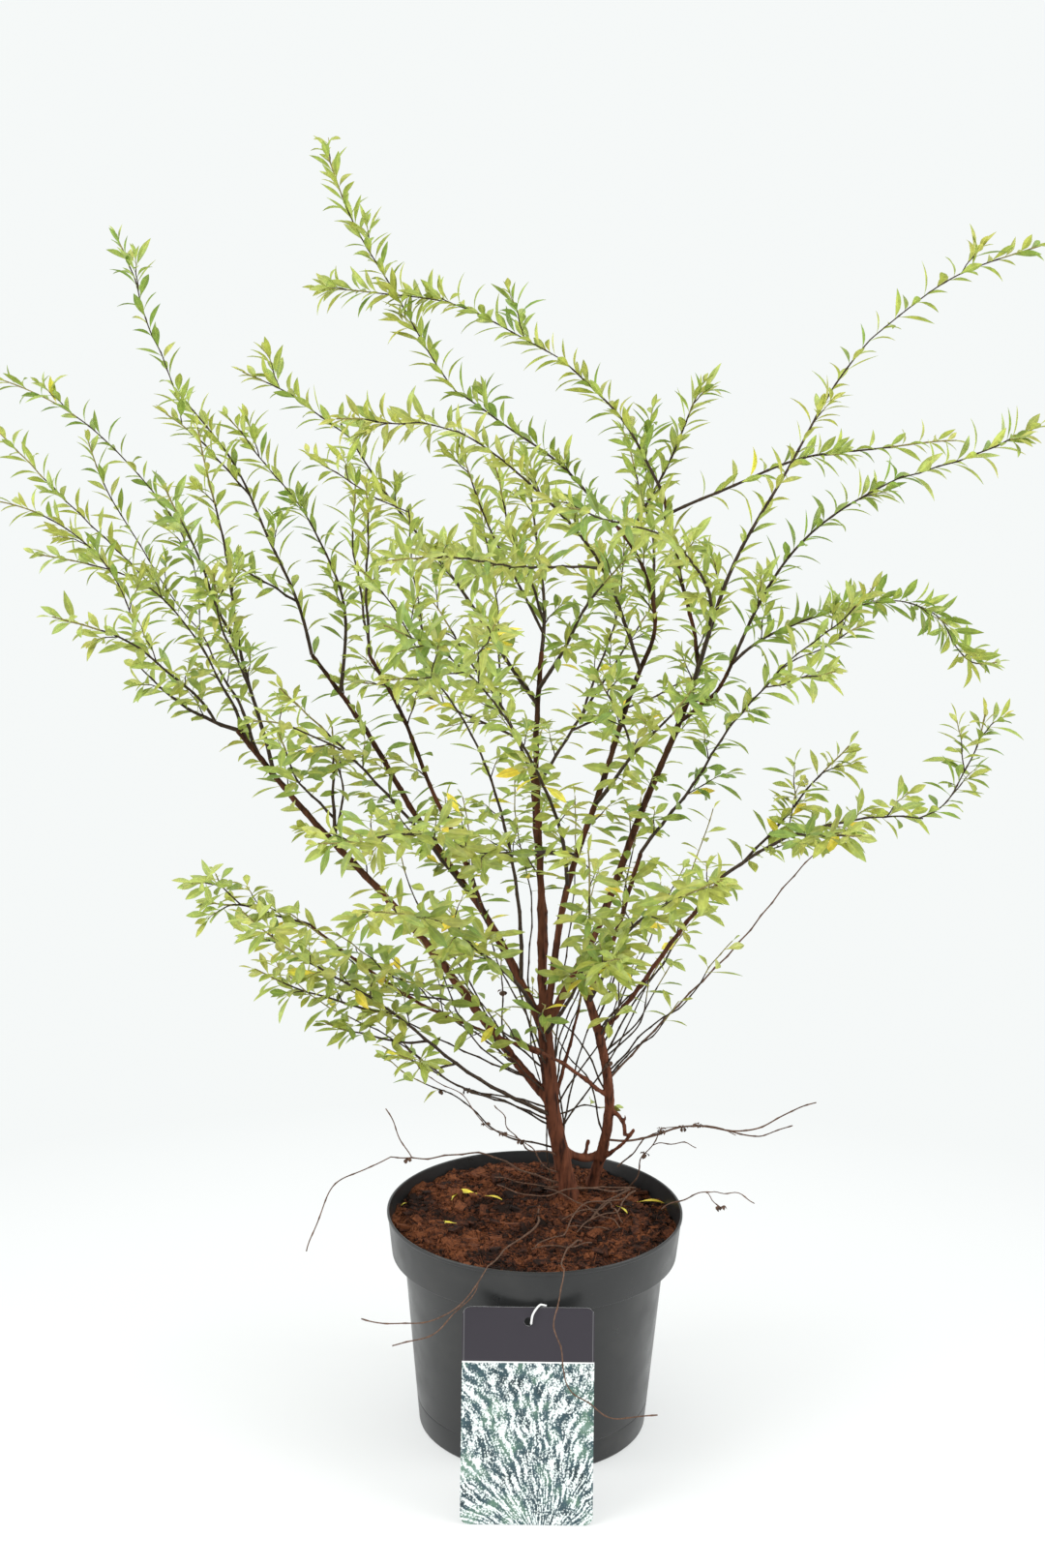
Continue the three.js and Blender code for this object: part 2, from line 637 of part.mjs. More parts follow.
// A leaf points along +X from its root with its upper face to +Z: a pointed root, sunk into the twig,
// two shoulders at the widest place with a keel under them, and a drooping tip. Six faces.
function leafGeometry(length, width) {
  const waist = length * LEAF_WIDEST;
  const half = width / 2;
  const keel = -length * (LEAF_KEEL + LEAF_WIDEST * LEAF_DROOP);
  const corners = [
    [0, 0, 0],
    [waist, -half, 0],
    [waist, half, 0],
    [waist, 0, keel],
    [length, 0, -length * LEAF_DROOP],
  ];
  const faces = [0, 1, 2, 1, 4, 2, 0, 3, 1, 3, 4, 1, 0, 2, 3, 3, 2, 4];
  const geometry = new THREE.BufferGeometry();
  geometry.setAttribute("position", new THREE.Float32BufferAttribute(corners.flat(), 3));
  geometry.setIndex(faces);
  return geometry;
}

// Leaves: they stand out from the shoot's faces in turn, and the last points on from its tip. Each has
// its upper face towards the shoot's tip and the sky.
function leavesOn(limb, seed) {
  const leaves = [];
  const span = limb.length - limb.bare;
  const count = Math.max(1, Math.round(span / LEAF_SPACING));
  for (let i = 0; i <= count; i++) {
    const isLast = i === count;
    const stagger = isLast ? 0 : LEAF_STAGGER * chance(seed, i);
    const reach = limb.bare + (span * (i + stagger)) / count;
    const { point: root, along, out } = placeOn(limb, reach, i % limb.sides);
    const angle = isLast ? LAST_LEAF_ANGLE : LEAF_ANGLE * between(LEAF_ANGLES, seed, i + DRAWS.leafAngle);
    const heading = along.clone().multiplyScalar(Math.cos(angle)).addScaledVector(out, Math.sin(angle));
    const height = THREE.MathUtils.smoothstep(root.z, LEAF_SIZES_CHANGE.from, LEAF_SIZES_CHANGE.to);
    const size = between(LEAF_SIZES, seed, i + DRAWS.leafSize);
    const length = size * THREE.MathUtils.lerp(LEAF_LENGTH.low, LEAF_LENGTH.high, height);
    const width = size * THREE.MathUtils.lerp(LEAF_WIDTH.low, LEAF_WIDTH.high, height);
    const upper = along.clone().add(new THREE.Vector3(0, 0, LEAF_SKYWARD));
    upper.addScaledVector(heading, -upper.dot(heading)).normalize();
    const side = upper.clone().cross(heading);
    const place = new THREE.Matrix4().makeBasis(heading, side, upper);
    if (isLast) root.addScaledVector(along, -LEAF_SINK.last);
    else root.addScaledVector(out, -LEAF_SINK.side);
    place.setPosition(root);
    const geometry = leafGeometry(length, width).applyMatrix4(place);
    const points = LEAF_PLACES.map(({ share, breadth }) => ({
      point: new THREE.Vector3(share * length, 0, -share * length * LEAF_DROOP).applyMatrix4(place),
      radius: (width / 2) * breadth,
      limb,
    }));
    if (!staysClear(points, limb)) continue;
    occupied.push(...points.map((entry) => ({ ...entry, limb: geometry })));
    leaves.push(solidOf(geometry));
  }
  return leaves;
}

function joined(solids) {
  return wasm.Manifold.union(solids);
}

// Cuts a piece clear of the limbs of earlier nodes that it grows from or passes.
function cutClear(solid, ownLimbs, others) {
  const own = ownLimbs.flatMap((limb) => limb.samples);
  let result = solid;
  for (const other of others) {
    const near = own.some((a) =>
      other.samples.some((b) => a.point.distanceTo(b.point) < a.radius + b.radius + SAMPLE_SPACING),
    );
    if (near) result = result.subtract(limbSolid(other, GAP));
  }
  return largest(result);
}

const shrub = new THREE.Group();

function addNode(name, geometry, finish) {
  const mesh = new THREE.Mesh(geometry, new THREE.MeshStandardMaterial(finish));
  mesh.name = name;
  shrub.add(mesh);
}

addNode("pot", potGeometry(), POT_BLACK);
addNode("soil", soilGeometry(), SOIL_BROWN);
addNode("label_card", cardGeometry(), CARD_PLUM);
addNode("label_tie", tieGeometry(), TIE_WHITE);

const placed = [];

function addLimbNode(node, extra, finish) {
  const own = [...limbs.values()].filter((limb) => limb.node === node);
  const solid = joined([...own.map((limb) => limbSolid(limb)), ...extra]);
  let cut = cutClear(solid, own, placed);
  if (node === "trunk" || node === "stem_right") cut = cut.subtract(groundBlock());
  addNode(node, geometryOf(cut), finish);
  placed.push(...own);
}

// Everything under the level that the stems are cut off at.
function groundBlock() {
  const { x, y, side, depth } = GROUND_BLOCK;
  const block = new THREE.BoxGeometry(side, side, depth);
  return solidOf(block.translate(x, y, SOIL_LEVEL + GAP - depth / 2));
}

["trunk", "stem_right", ...Object.keys(BOUGHS)].forEach((node) => addLimbNode(node, [], BARK_BROWN));

Object.keys(BARE_TWIGS).forEach((node) => addLimbNode(node, [], DRY_BROWN));

const growth = new Map();
Object.keys(MASSES).forEach((node, m) => {
  const shoots = [...limbs.values()].filter((limb) => limb.node === node);
  const twigs = shoots.flatMap((shoot, s) => sideTwigs(shoot, m * SEED_STEP.twigs + s + 1));
  growth.set(node, { shoots, twigs });
});
Object.keys(MASSES).forEach((node, m) => {
  const { shoots, twigs } = growth.get(node);
  const leaves = [...shoots, ...twigs].flatMap((limb, s) => leavesOn(limb, m * SEED_STEP.leaves + s + 1));
  addLimbNode(node, [...twigs.map((twig) => limbSolid(twig)), ...leaves], LEAF_GREEN);
});

export default shrub;
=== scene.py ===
"""A young spirea shrub in a round nursery pot, with a picture label leaning on the pot's front.

Lengths in this file are millimetres, +Z up, with the origin at the middle of the pot's underside. They
become metres when a mesh is made, and the finishes, lights and camera are in metres. Limbs grow by rows:
each says what it grows from, where it ends and how far its middle stands off the straight line. Twigs and
leaves grow on from the limbs by a seeded rule.
"""

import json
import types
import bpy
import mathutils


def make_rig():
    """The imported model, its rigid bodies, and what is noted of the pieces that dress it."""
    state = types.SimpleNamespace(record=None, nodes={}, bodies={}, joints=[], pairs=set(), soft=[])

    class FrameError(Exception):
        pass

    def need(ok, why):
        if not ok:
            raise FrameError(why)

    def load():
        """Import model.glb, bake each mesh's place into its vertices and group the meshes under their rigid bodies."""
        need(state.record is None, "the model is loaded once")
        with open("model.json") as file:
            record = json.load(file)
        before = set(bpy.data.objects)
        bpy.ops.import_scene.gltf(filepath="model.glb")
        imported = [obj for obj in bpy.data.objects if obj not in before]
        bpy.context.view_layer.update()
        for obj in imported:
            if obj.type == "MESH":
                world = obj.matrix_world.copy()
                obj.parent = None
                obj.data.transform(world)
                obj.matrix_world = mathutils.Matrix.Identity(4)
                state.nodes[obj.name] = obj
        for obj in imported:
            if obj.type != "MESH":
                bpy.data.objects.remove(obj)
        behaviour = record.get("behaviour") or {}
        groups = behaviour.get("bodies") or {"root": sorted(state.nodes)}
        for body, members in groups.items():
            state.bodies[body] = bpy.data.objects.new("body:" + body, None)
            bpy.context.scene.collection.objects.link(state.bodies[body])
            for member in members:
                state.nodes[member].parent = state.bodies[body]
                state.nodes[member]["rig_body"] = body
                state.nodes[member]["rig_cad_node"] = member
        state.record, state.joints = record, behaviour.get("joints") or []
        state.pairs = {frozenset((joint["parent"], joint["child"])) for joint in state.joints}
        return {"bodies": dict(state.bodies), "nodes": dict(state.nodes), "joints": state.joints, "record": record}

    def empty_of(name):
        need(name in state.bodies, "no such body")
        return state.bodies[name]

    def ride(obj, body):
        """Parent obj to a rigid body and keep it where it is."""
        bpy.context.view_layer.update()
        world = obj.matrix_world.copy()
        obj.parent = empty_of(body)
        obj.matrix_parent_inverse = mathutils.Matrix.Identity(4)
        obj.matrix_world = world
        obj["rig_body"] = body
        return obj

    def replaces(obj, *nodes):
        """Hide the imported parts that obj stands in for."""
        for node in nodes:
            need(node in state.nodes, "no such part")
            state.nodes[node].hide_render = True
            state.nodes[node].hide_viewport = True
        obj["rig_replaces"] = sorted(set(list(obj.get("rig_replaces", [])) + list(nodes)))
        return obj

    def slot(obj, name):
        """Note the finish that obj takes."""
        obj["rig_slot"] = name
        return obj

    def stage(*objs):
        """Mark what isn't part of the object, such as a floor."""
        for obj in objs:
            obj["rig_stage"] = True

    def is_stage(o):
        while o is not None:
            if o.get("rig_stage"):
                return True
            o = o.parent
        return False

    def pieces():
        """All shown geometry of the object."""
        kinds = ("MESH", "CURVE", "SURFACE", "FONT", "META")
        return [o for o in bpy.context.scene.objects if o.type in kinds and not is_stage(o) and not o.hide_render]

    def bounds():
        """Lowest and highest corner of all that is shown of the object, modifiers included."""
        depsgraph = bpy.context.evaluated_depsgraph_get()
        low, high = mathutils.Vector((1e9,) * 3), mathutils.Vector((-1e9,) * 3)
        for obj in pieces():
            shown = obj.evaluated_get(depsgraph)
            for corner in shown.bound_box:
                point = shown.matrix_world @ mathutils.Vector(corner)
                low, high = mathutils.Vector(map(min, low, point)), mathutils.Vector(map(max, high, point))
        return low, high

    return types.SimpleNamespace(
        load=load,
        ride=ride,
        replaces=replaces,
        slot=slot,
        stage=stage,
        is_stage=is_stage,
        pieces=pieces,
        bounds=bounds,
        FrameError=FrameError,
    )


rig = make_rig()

bl_info = {
    "name": "Potted Spirea Shrub",
    "version": (1, 0, 0),
    "blender": (4, 5, 0),
    "location": "View3D > Sidebar > Shrub",
    "description": "Builds a potted spirea shrub and its label, in a plain studio",
    "category": "Object",
}

import json

import bpy
import numpy as np
from bpy.props import FloatProperty, FloatVectorProperty, IntProperty, PointerProperty
from bpy.types import NodeSocket, Operator, Panel, PropertyGroup
from mathutils import Matrix

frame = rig.load()
CAD_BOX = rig.bounds()

MM = 0.001
UP = np.array([0.0, 0.0, 1.0])
GOLDEN_TURN = np.radians(137.5)
BODY = "root"

# ---- where the limbs grow

# The stems. Each row: foot and tip, how far its middle stands off the straight line, its radius at its
# foot and its tip, and how much its foot flares.
STEMS = {
    "trunk": [[24.3, 35.3, 126], [5, 30, 250], [-2, 0, 0], 5.5, 4.6, 4.3],
    "stem_right": [[34, 53, 126], [30, 15, 280], [14, 2, 0], 3.6, 2.6, 2.5],
}
FLARE_REACH = 9

# Bare boughs. Each row: what it grows from and how far along that, where it ends, how far its middle
# stands off the straight line, and its radius at its foot and its tip.
BOUGHS = {
    "bough_left": ["trunk", 0.6, [-190, 60, 435], [0, 0, 2], 3.05, 1.65],
    "bough_left_middle": ["trunk", 1, [-145, 80, 480], [4, 0, 4], 2.75, 1.3],
    "bough_left_inner": ["bough_left_middle", 0.3, [-105, 25, 490], [2, 0, 4], 1.63, 1.12],
    "bough_centre": ["trunk", 1, [0, 75, 485], [-4, 0, 0], 2.85, 1.5],
    "bough_right_inner": ["trunk", 1, [65, 45, 490], [-8, 0, 4], 2.5, 1.4],
    "bough_right": ["trunk", 1, [95, 5, 495], [6, 0, 2], 2.9, 1.6],
    "bough_right_outer": ["stem_right", 0.98, [60, -20, 380], [2, 0, 0], 1.63, 1.29],
    "bough_low_right": ["stem_right", 0.8, [105, -70, 380], [2, 0, 2], 1.55, 1.2],
    "bough_low_left": ["trunk", 0.86, [-135, -45, 340], [-4, 0, -8], 1.19, 0.91],
    "bough_top": ["bough_right_inner", 1, [45, 60, 565], [12, 0, -2], 1.29, 1.12],
    "bough_arch": ["bough_right", 0.97, [70, 40, 590], [2, 0, 0], 1.29, 1.12],
    "bough_right_middle": ["bough_right", 0.83, [110, -35, 500], [4, 0, -2], 1.29, 1.12],
    "bough_back": ["trunk", 0.94, [-5, 125, 395], [2, -8, 0], 2.06, 1.38],
}

# Short bare wood round the foot of the stems, in rows like those of the boughs.
BASE_WOOD = {
    "arm": ["trunk", 0.39, [41, 46, 160], [-1, 0, -6], 2.6, 2.6],
    "peg": ["arm", 0.68, [34.5, 42, 172], [0, 0, 0], 1.3, 1],
    "stub": ["stem_right", 0.44, [57, 31, 179], [3, 0, 3], 1.6, 1.3],
    "stub_spur": ["stub", 0.6, [57, 33, 193], [1, 0, -1], 0.8, 0.5],
    "bar": ["stem_right", 0.2, [63, 30, 184], [0, 0, -3], 1.5, 1],
    "cross_branch": ["stem_right", 0.5, [-14, 4, 254], [0, 0, 2], 1.5, 1],
    "slip": ["trunk", 0.56, [36, 48, 300], [0, 0, 0], 1.2, 0.9],
}

# Leafy masses. The first row of each leaves a bough or the trunk, and the others branch from it, or from
# one another, by number. Each row: what it grows from and how far along that, where it ends, how far its
# middle stands off the straight line, and its leafless length.
MASSES = {
    "left_low": [
        ["bough_left", 1, [-245, 30, 480], [-4, 0, -4], 14],
        [0, 0.97, [-325, 20, 580], [16, 0, 20], 8],
        [0, 0.19, [-275, -70, 525], [8, 4, 8], 14],
    ],
    "left_middle": [
        ["bough_left", 0.97, [-215, 70, 490], [2, 0, 0], 24],
        [0, 0.98, [-340, 95, 615], [2, 0, 2], 8],
        [0, 0.73, [-310, 50, 545], [14, 0, 14], 12],
    ],
    "left_high": [
        ["bough_left", 0.93, [-220, 110, 490], [2, 0, 0], 30],
        [0, 1, [-350, 150, 645], [32, -2, 16], 8],
        [0, 1, [-290, 120, 610], [-6, 0, -4], 14],
    ],
    "left_upright": [
        ["bough_left", 0.88, [-205, 20, 625], [-2, 0, 2], 30],
        [0, 0.26, [-190, -30, 545], [-4, 0, 0], 14],
        [0, 0.37, [-205, -100, 600], [-2, 0, 2], 14],
    ],
    "left_under": [
        ["bough_left", 0.69, [-128, 30, 444], [0, 0, 2], 40],
        [0, 0.21, [-155, -30, 455], [-4, 2, -4], 30],
        [0, 0.1, [-130, 40, 430], [6, 0, -2], 20],
    ],
    "left_reach": [
        ["bough_left_middle", 1, [-230, 90, 645], [10, 0, 6], 12],
        [0, 1, [-265, 105, 735], [0, 0, 0], 4],
        [0, 0.18, [-185, 40, 540], [0, 0, 0], 12],
        [0, 0.56, [-230, 60, 630], [2, 0, 2], 12],
    ],
    "left_cluster": [
        ["bough_left_middle", 0.89, [-155, 50, 585], [14, 0, 6], 30],
        [0, 1, [-190, 40, 630], [0, 0, 0], 4],
    ],
    "left_inside": [
        ["bough_left_middle", 0.34, [-155, -10, 475], [0, 0, 4], 60],
        [0, 0.61, [-165, -60, 465], [2, 0, 6], 14],
    ],
    "left_inner": [
        ["bough_left_inner", 1, [-105, 10, 595], [0, 0, 0], 12],
        [0, 0.11, [-115, 60, 595], [-4, 0, -4], 14],
    ],
    "centre_left": [
        ["bough_left_middle", 0.12, [-70, -15, 490], [16, 0, 14], 70],
        [0, 1, [-80, 5, 580], [0, 0, 0], 4],
        [1, 0.98, [-142, 45, 608], [-2, 0, -2], 4],
        [0, 0.98, [-105, -40, 550], [2, 0, 4], 12],
    ],
    "centre_left_high": [
        ["bough_centre", 0.86, [-125, 70, 625], [-2, 0, 2], 20],
        [0, 0.95, [-185, 75, 655], [2, 0, 2], 8],
    ],
    "centre": [
        ["bough_centre", 1, [-15, 165, 605], [6, 0, 0], 14],
        [0, 0.08, [-55, 100, 615], [-2, 0, -2], 16],
        [0, 0.14, [-30, 30, 605], [-2, 0, 0], 16],
    ],
    "centre_right": [["bough_centre", 0.9, [45, -60, 560], [0, 0, 4], 30]],
    "front_left": [
        ["bough_right_inner", 0.37, [-45, -130, 510], [10, 0, 12], 50],
        [0, 0.99, [-80, -215, 545], [2, 0, 2], 8],
        [0, 0.97, [-80, -200, 515], [0, 0, 0], 12],
        [0, 0.91, [-25, -235, 550], [-2, 0, 2], 14],
    ],
    "right_upright": [["bough_top", 0.36, [50, 140, 620], [6, 0, 0], 16]],
    "top": [
        ["bough_top", 1, [-55, 75, 645], [4, 0, 4], 12],
        [0, 1, [-135, 80, 790], [-6, 0, -2], 4],
    ],
    "right_crest": [["bough_top", 0.9, [94, 50, 653], [2, 0, 2], 16]],
    "front_top": [
        ["bough_right_inner", 0.95, [-50, -60, 630], [12, 0, 16], 24],
        [0, 0.99, [-110, -130, 640], [0, 0, 2], 6],
        [0, 0.34, [-80, -200, 575], [-4, 0, 2], 50],
    ],
    "arch": [
        ["bough_arch", 1, [10, 55, 665], [4, 0, 4], 12],
        [0, 1, [-140, 80, 705], [2, 0, 12], 4],
    ],
    "right_arm": [["bough_arch", 0.86, [250, 60, 620], [-4, 0, 10], 20]],
    "right_high": [
        ["bough_right", 1, [190, 30, 680], [-8, 0, 6], 16],
        [0, 1, [290, 45, 735], [-4, 0, 6], 4],
    ],
    "front_right": [
        ["bough_right", 0.93, [45, -170, 590], [18, -6, 20], 60],
        [0, 0.99, [10, -225, 605], [0, 0, 0], 4],
    ],
    "right_reach": [
        ["bough_right_middle", 1, [195, -80, 610], [-10, 0, 12], 14],
        [0, 0.98, [260, -110, 640], [2, 0, -2], 4],
    ],
    "right_droop": [
        ["bough_right_middle", 0.93, [205, 0, 530], [-8, 0, 6], 14],
        [0, 1, [245, 15, 505], [4, 0, 6], 4],
        [1, 1, [275, 25, 490], [-2, 0, -6], 4],
    ],
    "right_outer": [
        ["bough_right_outer", 1, [135, -60, 500], [0, 0, 2], 14],
        [0, 1, [180, -90, 550], [2, 0, 0], 8],
        [0, 0.99, [185, -30, 520], [0, 0, 0], 10],
        [0, 0.89, [155, -130, 510], [0, 0, 0], 12],
    ],
    "right_under": [
        ["bough_right_inner", 0.59, [80, -110, 495], [2, 0, 2], 40],
        [0, 0.45, [30, -100, 500], [0, 0, 2], 14],
    ],
    "low_right": [
        ["bough_low_right", 1, [210, -110, 425], [-2, 0, 12], 12],
        [0, 0.98, [245, -90, 480], [4, -2, -10], 4],
        [0, 0.1, [175, -60, 455], [0, 0, 0], 14],
        [0, 0.36, [170, -150, 425], [0, 0, 0], 14],
    ],
    "low_right_front": [["stem_right", 0.96, [95, -170, 405], [-6, 0, 12], 70]],
    "low_centre": [
        ["trunk", 0.97, [25, -130, 410], [12, 0, 2], 60],
        [0, 0.28, [45, -120, 345], [-2, 0, 4], 20],
    ],
    "low_left": [
        ["bough_low_left", 1, [-190, -70, 360], [0, 0, 2], 10],
        [0, 0.7, [-185, -80, 380], [-2, 0, 0], 10],
    ],
    "low_left_front": [
        ["trunk", 0.53, [-165, -120, 370], [-8, 0, -2], 130],
        [0, 0.52, [-166, -62, 318], [0, 0, -4], 24],
        [0, 0.4, [-126, -52, 282], [0, 0, -4], 40],
        [0, 0.3, [-82, -62, 266], [0, 0, -4], 40],
    ],
    "front_low": [["bough_right_inner", 0.45, [-115, -200, 430], [-6, 0, 4], 70]],
    "front_low_left": [["bough_left_middle", 0.05, [-95, -170, 385], [4, 0, 18], 70]],
    "back_left": [
        ["bough_back", 1, [-78, 185, 505], [4, 0, 2], 16],
        [0, 0.35, [-44, 180, 575], [4, 0, 0], 12],
        [0, 0.18, [-137, 165, 450], [2, 0, 6], 14],
    ],
    "back_right": [
        ["bough_back", 0.92, [87, 190, 515], [-2, 0, 0], 24],
        [0, 0.36, [57, 185, 565], [6, 0, -2], 12],
        [0, 0.29, [117, 185, 455], [0, 0, 0], 14],
    ],
}

# How many leaves and twigs a mass bears, against a usual one.
LEAFINESS = {
    "left_low": 0.92, "left_middle": 0.82, "left_high": 0.7, "left_upright": 0.75,
    "left_under": 0.85, "left_reach": 0.78, "left_inside": 0.6, "left_inner": 0.85,
    "centre_left": 0.72, "centre": 0.95, "centre_right": 0.85, "front_left": 0.82, "top": 1.3,
    "right_crest": 1.35, "front_top": 1.25, "arch": 1.4, "right_arm": 0.72, "right_high": 0.7,
    "right_droop": 1.6, "right_under": 0.7, "right_outer": 0.9, "low_right": 1.2,
    "low_right_front": 1.2, "low_centre": 0.82, "low_left": 1.5, "low_left_front": 1.3,
    "front_low": 1.1, "front_low_left": 1.2, "wisp_front_left": 0.6, "wisp_front_middle": 0.6,
    "wisp_front_right": 0.8, "wisp_front_low": 0.2, "wisp_band": 2, "wisp_weave": 0.5,
    "wisp_weave_left": 0.4, "wisp_weave_right": 0.4, "wisp_weave_low": 0.3, "wisp_left_drop": 0.7,
    "wisp_band_low": 2, "wisp_band_inner": 1.8,
}

# Thin living shoots with few leaves, low in the shrub, in rows like those of the masses.
WISPS = {
    "wisp_right": [["stem_right", 0.6, [88, 16, 275], [0, 0, -3], 60]],
    "wisp_right_high": [["stem_right", 0.71, [84, 32, 295], [2, 0, -4], 70]],
    "wisp_right_long": [["stem_right", 0.62, [120, 15, 315], [0, 0, -3], 90]],
    "wisp_right_fan": [["stem_right", 0.82, [92, 0, 330], [0, 0, -2], 60]],
    "wisp_right_loop": [["stem_right", 0.69, [70, 30, 285], [6, 0, -4], 40]],
    "wisp_right_back": [["stem_right", 0.75, [80, 95, 330], [4, 0, -4], 60]],
    "wisp_centre": [["trunk", 0.55, [62, 20, 303], [2, 0, -2], 80]],
    "wisp_fork": [["trunk", 0.6, [30, 40, 282], [0, 0, 0], 60]],
    "wisp_cross": [["trunk", 0.53, [49, 48, 192], [0, 0, 3], 30]],
    "wisp_upright": [[[15, 46, 128], 0, [-3, 45, 274], [-4, 0, 0], 120]],
    "wisp_back": [["trunk", 0.7, [40, 110, 335], [0, 4, -4], 70]],
    "wisp_back_left": [["trunk", 0.78, [-52, 105, 345], [0, 4, -4], 70]],
    "wisp_left": [["trunk", 0.62, [-24, 10, 242], [0, 0, 4], 60]],
    "wisp_left_low": [["trunk", 0.57, [-96, 0, 249], [0, 0, -5], 80]],
    "wisp_left_fan": [["bough_left", 0.1, [-93, 0, 309], [0, 0, -5], 70]],
    "wisp_left_long": [["bough_left", 0.07, [-130, -50, 312], [-3, 0, -3], 90]],
    "wisp_left_up": [["bough_left", 0.14, [-22, 40, 300], [-3, 0, 0], 40]],
    "wisp_far_left": [["trunk", 0.5, [-146, -62, 314], [0, 0, -10], 150]],
    "wisp_front_left": [["trunk", 0.88, [-50, -40, 307], [0, -2, -5], 26]],
    "wisp_front_middle": [["trunk", 0.93, [4, -44, 292], [-2, -6, 3], 26]],
    "wisp_front_right": [["stem_right", 0.8, [47, -60, 328], [4, -4, -4], 30]],
    "wisp_front_low": [["trunk", 0.8, [-26, -34, 284], [0, 0, 0], 30]],
    "wisp_band": [["bough_left", 0.26, [-146, -60, 352], [0, -6, -9], 70]],
    "wisp_band_low": [["bough_left", 0.3, [-118, -66, 342], [0, -6, -7], 50]],
    "wisp_band_inner": [["bough_left", 0.13, [-70, -46, 332], [0, -4, -8], 40]],
    "wisp_weave_left": [["trunk", 0.25, [1, 60, 276], [3, 8, 4], 150]],
    "wisp_weave": [["trunk", 0.42, [92, 34, 318], [-3, -2, -2], 110]],
    "wisp_weave_right": [["stem_right", 0.5, [-2, 76, 262], [0, 6, 4], 90]],
    "wisp_weave_low": [["stem_right", 0.3, [4, 66, 246], [6, 4, 0], 90]],
    "wisp_weave_high": [["trunk", 0.36, [58, 84, 300], [-4, 6, -2], 120]],
    "wisp_left_thin": [["trunk", 0.47, [-108, -6, 276], [0, 0, -9], 100]],
    "wisp_left_drop": [["trunk", 0.34, [-94, 6, 240], [0, 0, -7], 90]],
    "wisp_left_rise": [["trunk", 0.66, [-92, 40, 290], [0, 4, -6], 80]],
    "wisp_left_back": [["trunk", 0.76, [-72, 58, 300], [0, 4, -4], 70]],
    "wisp_tall_left": [["bough_left", 0.12, [-92, 26, 392], [-8, 4, -4], 96]],
    "wisp_tall_inner": [["trunk", 0.72, [-48, 34, 400], [-6, 2, -2], 110]],
    "wisp_tall_middle": [["trunk", 0.8, [-16, 64, 410], [-4, 4, 0], 110]],
    "wisp_tall": [["trunk", 0.66, [22, 58, 396], [4, 4, 0], 120]],
    "wisp_tall_right": [["stem_right", 0.86, [62, 30, 402], [4, -2, -4], 100]],
    "wisp_tall_outer": [["stem_right", 0.7, [108, 44, 392], [6, 4, -8], 120]],
}

# Dead leafless twigs, in rows like those of the masses. Those that start at a point lie on the soil.
BARE_TWIGS = {
    "bare_left": [
        ["trunk", 0.14, [-90, -10, 180], [0, 0, 6]],
        [0, 1, [-140, -40, 130], [-10, 0, 6]],
        [0, 0.88, [-95, 20, 200], [0, 0, 0]],
    ],
    "bare_right": [
        ["stem_right", 0.3, [180, 40, 200], [4, 0, -6]],
        [0, 0.54, [160, 0, 200], [2, 0, -4]],
    ],
    "bare_upright": [["stem_right", 0.58, [180, 60, 365], [0, 0, 0]]],
    "bare_front": [
        [[62, 45, 136.5], 0, [17, -93, 146], [-14, -3, -5]],
        [0, 1, [18, -124, 91], [-4, -6, 2]],
        [1, 1, [72, -125, 70], [-8, -4, -6]],
    ],
    "bare_front_left": [
        [[3, 19, 135.2], 0, [-28, -91, 146], [4, 0, -4]],
        [0, 1, [-101, -112, 122], [4, -4, -16]],
        [1, 0.1, [-83, -112, 105], [8, -2, -4]],
    ],
}

# Finer dead twigs round those, in the same rows.
BARE_SPRIGS = {
    "sprig_cluster": [
        ["trunk", 0.3, [-20, 2, 192], [0, 0, -2]],
        [0, 1, [-80, -26, 258], [0, 0, -5]],
        [0, 0.8, [-26, -8, 214], [0, 0, 0]],
        ["trunk", 0.2, [-14, 6, 190], [0, 0, -3]],
    ],
    "sprig_node": [
        [[62, 54, 134], 0, [81, 44, 179], [-2, 0, -4]],
        [0, 1, [127, 20, 185], [0, 0, 5]],
        [[54, 50, 150], 0, [81, 44, 178], [0, 0, 2]],
        [0, 0.8, [103, 30, 172], [0, 0, 3]],
    ],
    "sprig_right": [
        [[80, 4, 141], 0, [110, -5, 157], [0, 0, 3]],
        [0, 1, [137, -10, 152], [0, 0, 3]],
        [0, 0.9, [116, -7, 148], [0, 0, 0]],
    ],
    "sprig_flat": [[[5, 44, 137], 0, [35, 11, 138], [0, 0, 2]]],
    "sprig_elbow": [[[66, 46, 137], 0, [-26, 40, 146], [0, -6, 2]]],
    "sprig_short": [[[48, 25, 136], 0, [55, -11, 138], [0, 0, 2]]],
    "sprig_front": [[[35, -40, 138], 0, [-2, -52, 139], [0, 0, 1]]],
    "sprig_across": [[[61, 39, 140], 0, [-24, 14, 152], [0, -22, 4]]],
    "sprig_fan": [
        [[65, 36, 139.5], 0, [0, -52, 140.5], [-4, -4, 3]],
        [[64, 34, 140], 0, [26, -28, 139.5], [3, 0, 2]],
        [0, 0.62, [46, -24, 139.5], [1, 1, 1]],
        [[48, 20, 138.5], 0, [17, -10, 139.5], [2, -3, 2]],
        [[36, 6, 138.5], 0, [53, -20, 139], [0, 0, 2]],
    ],
}

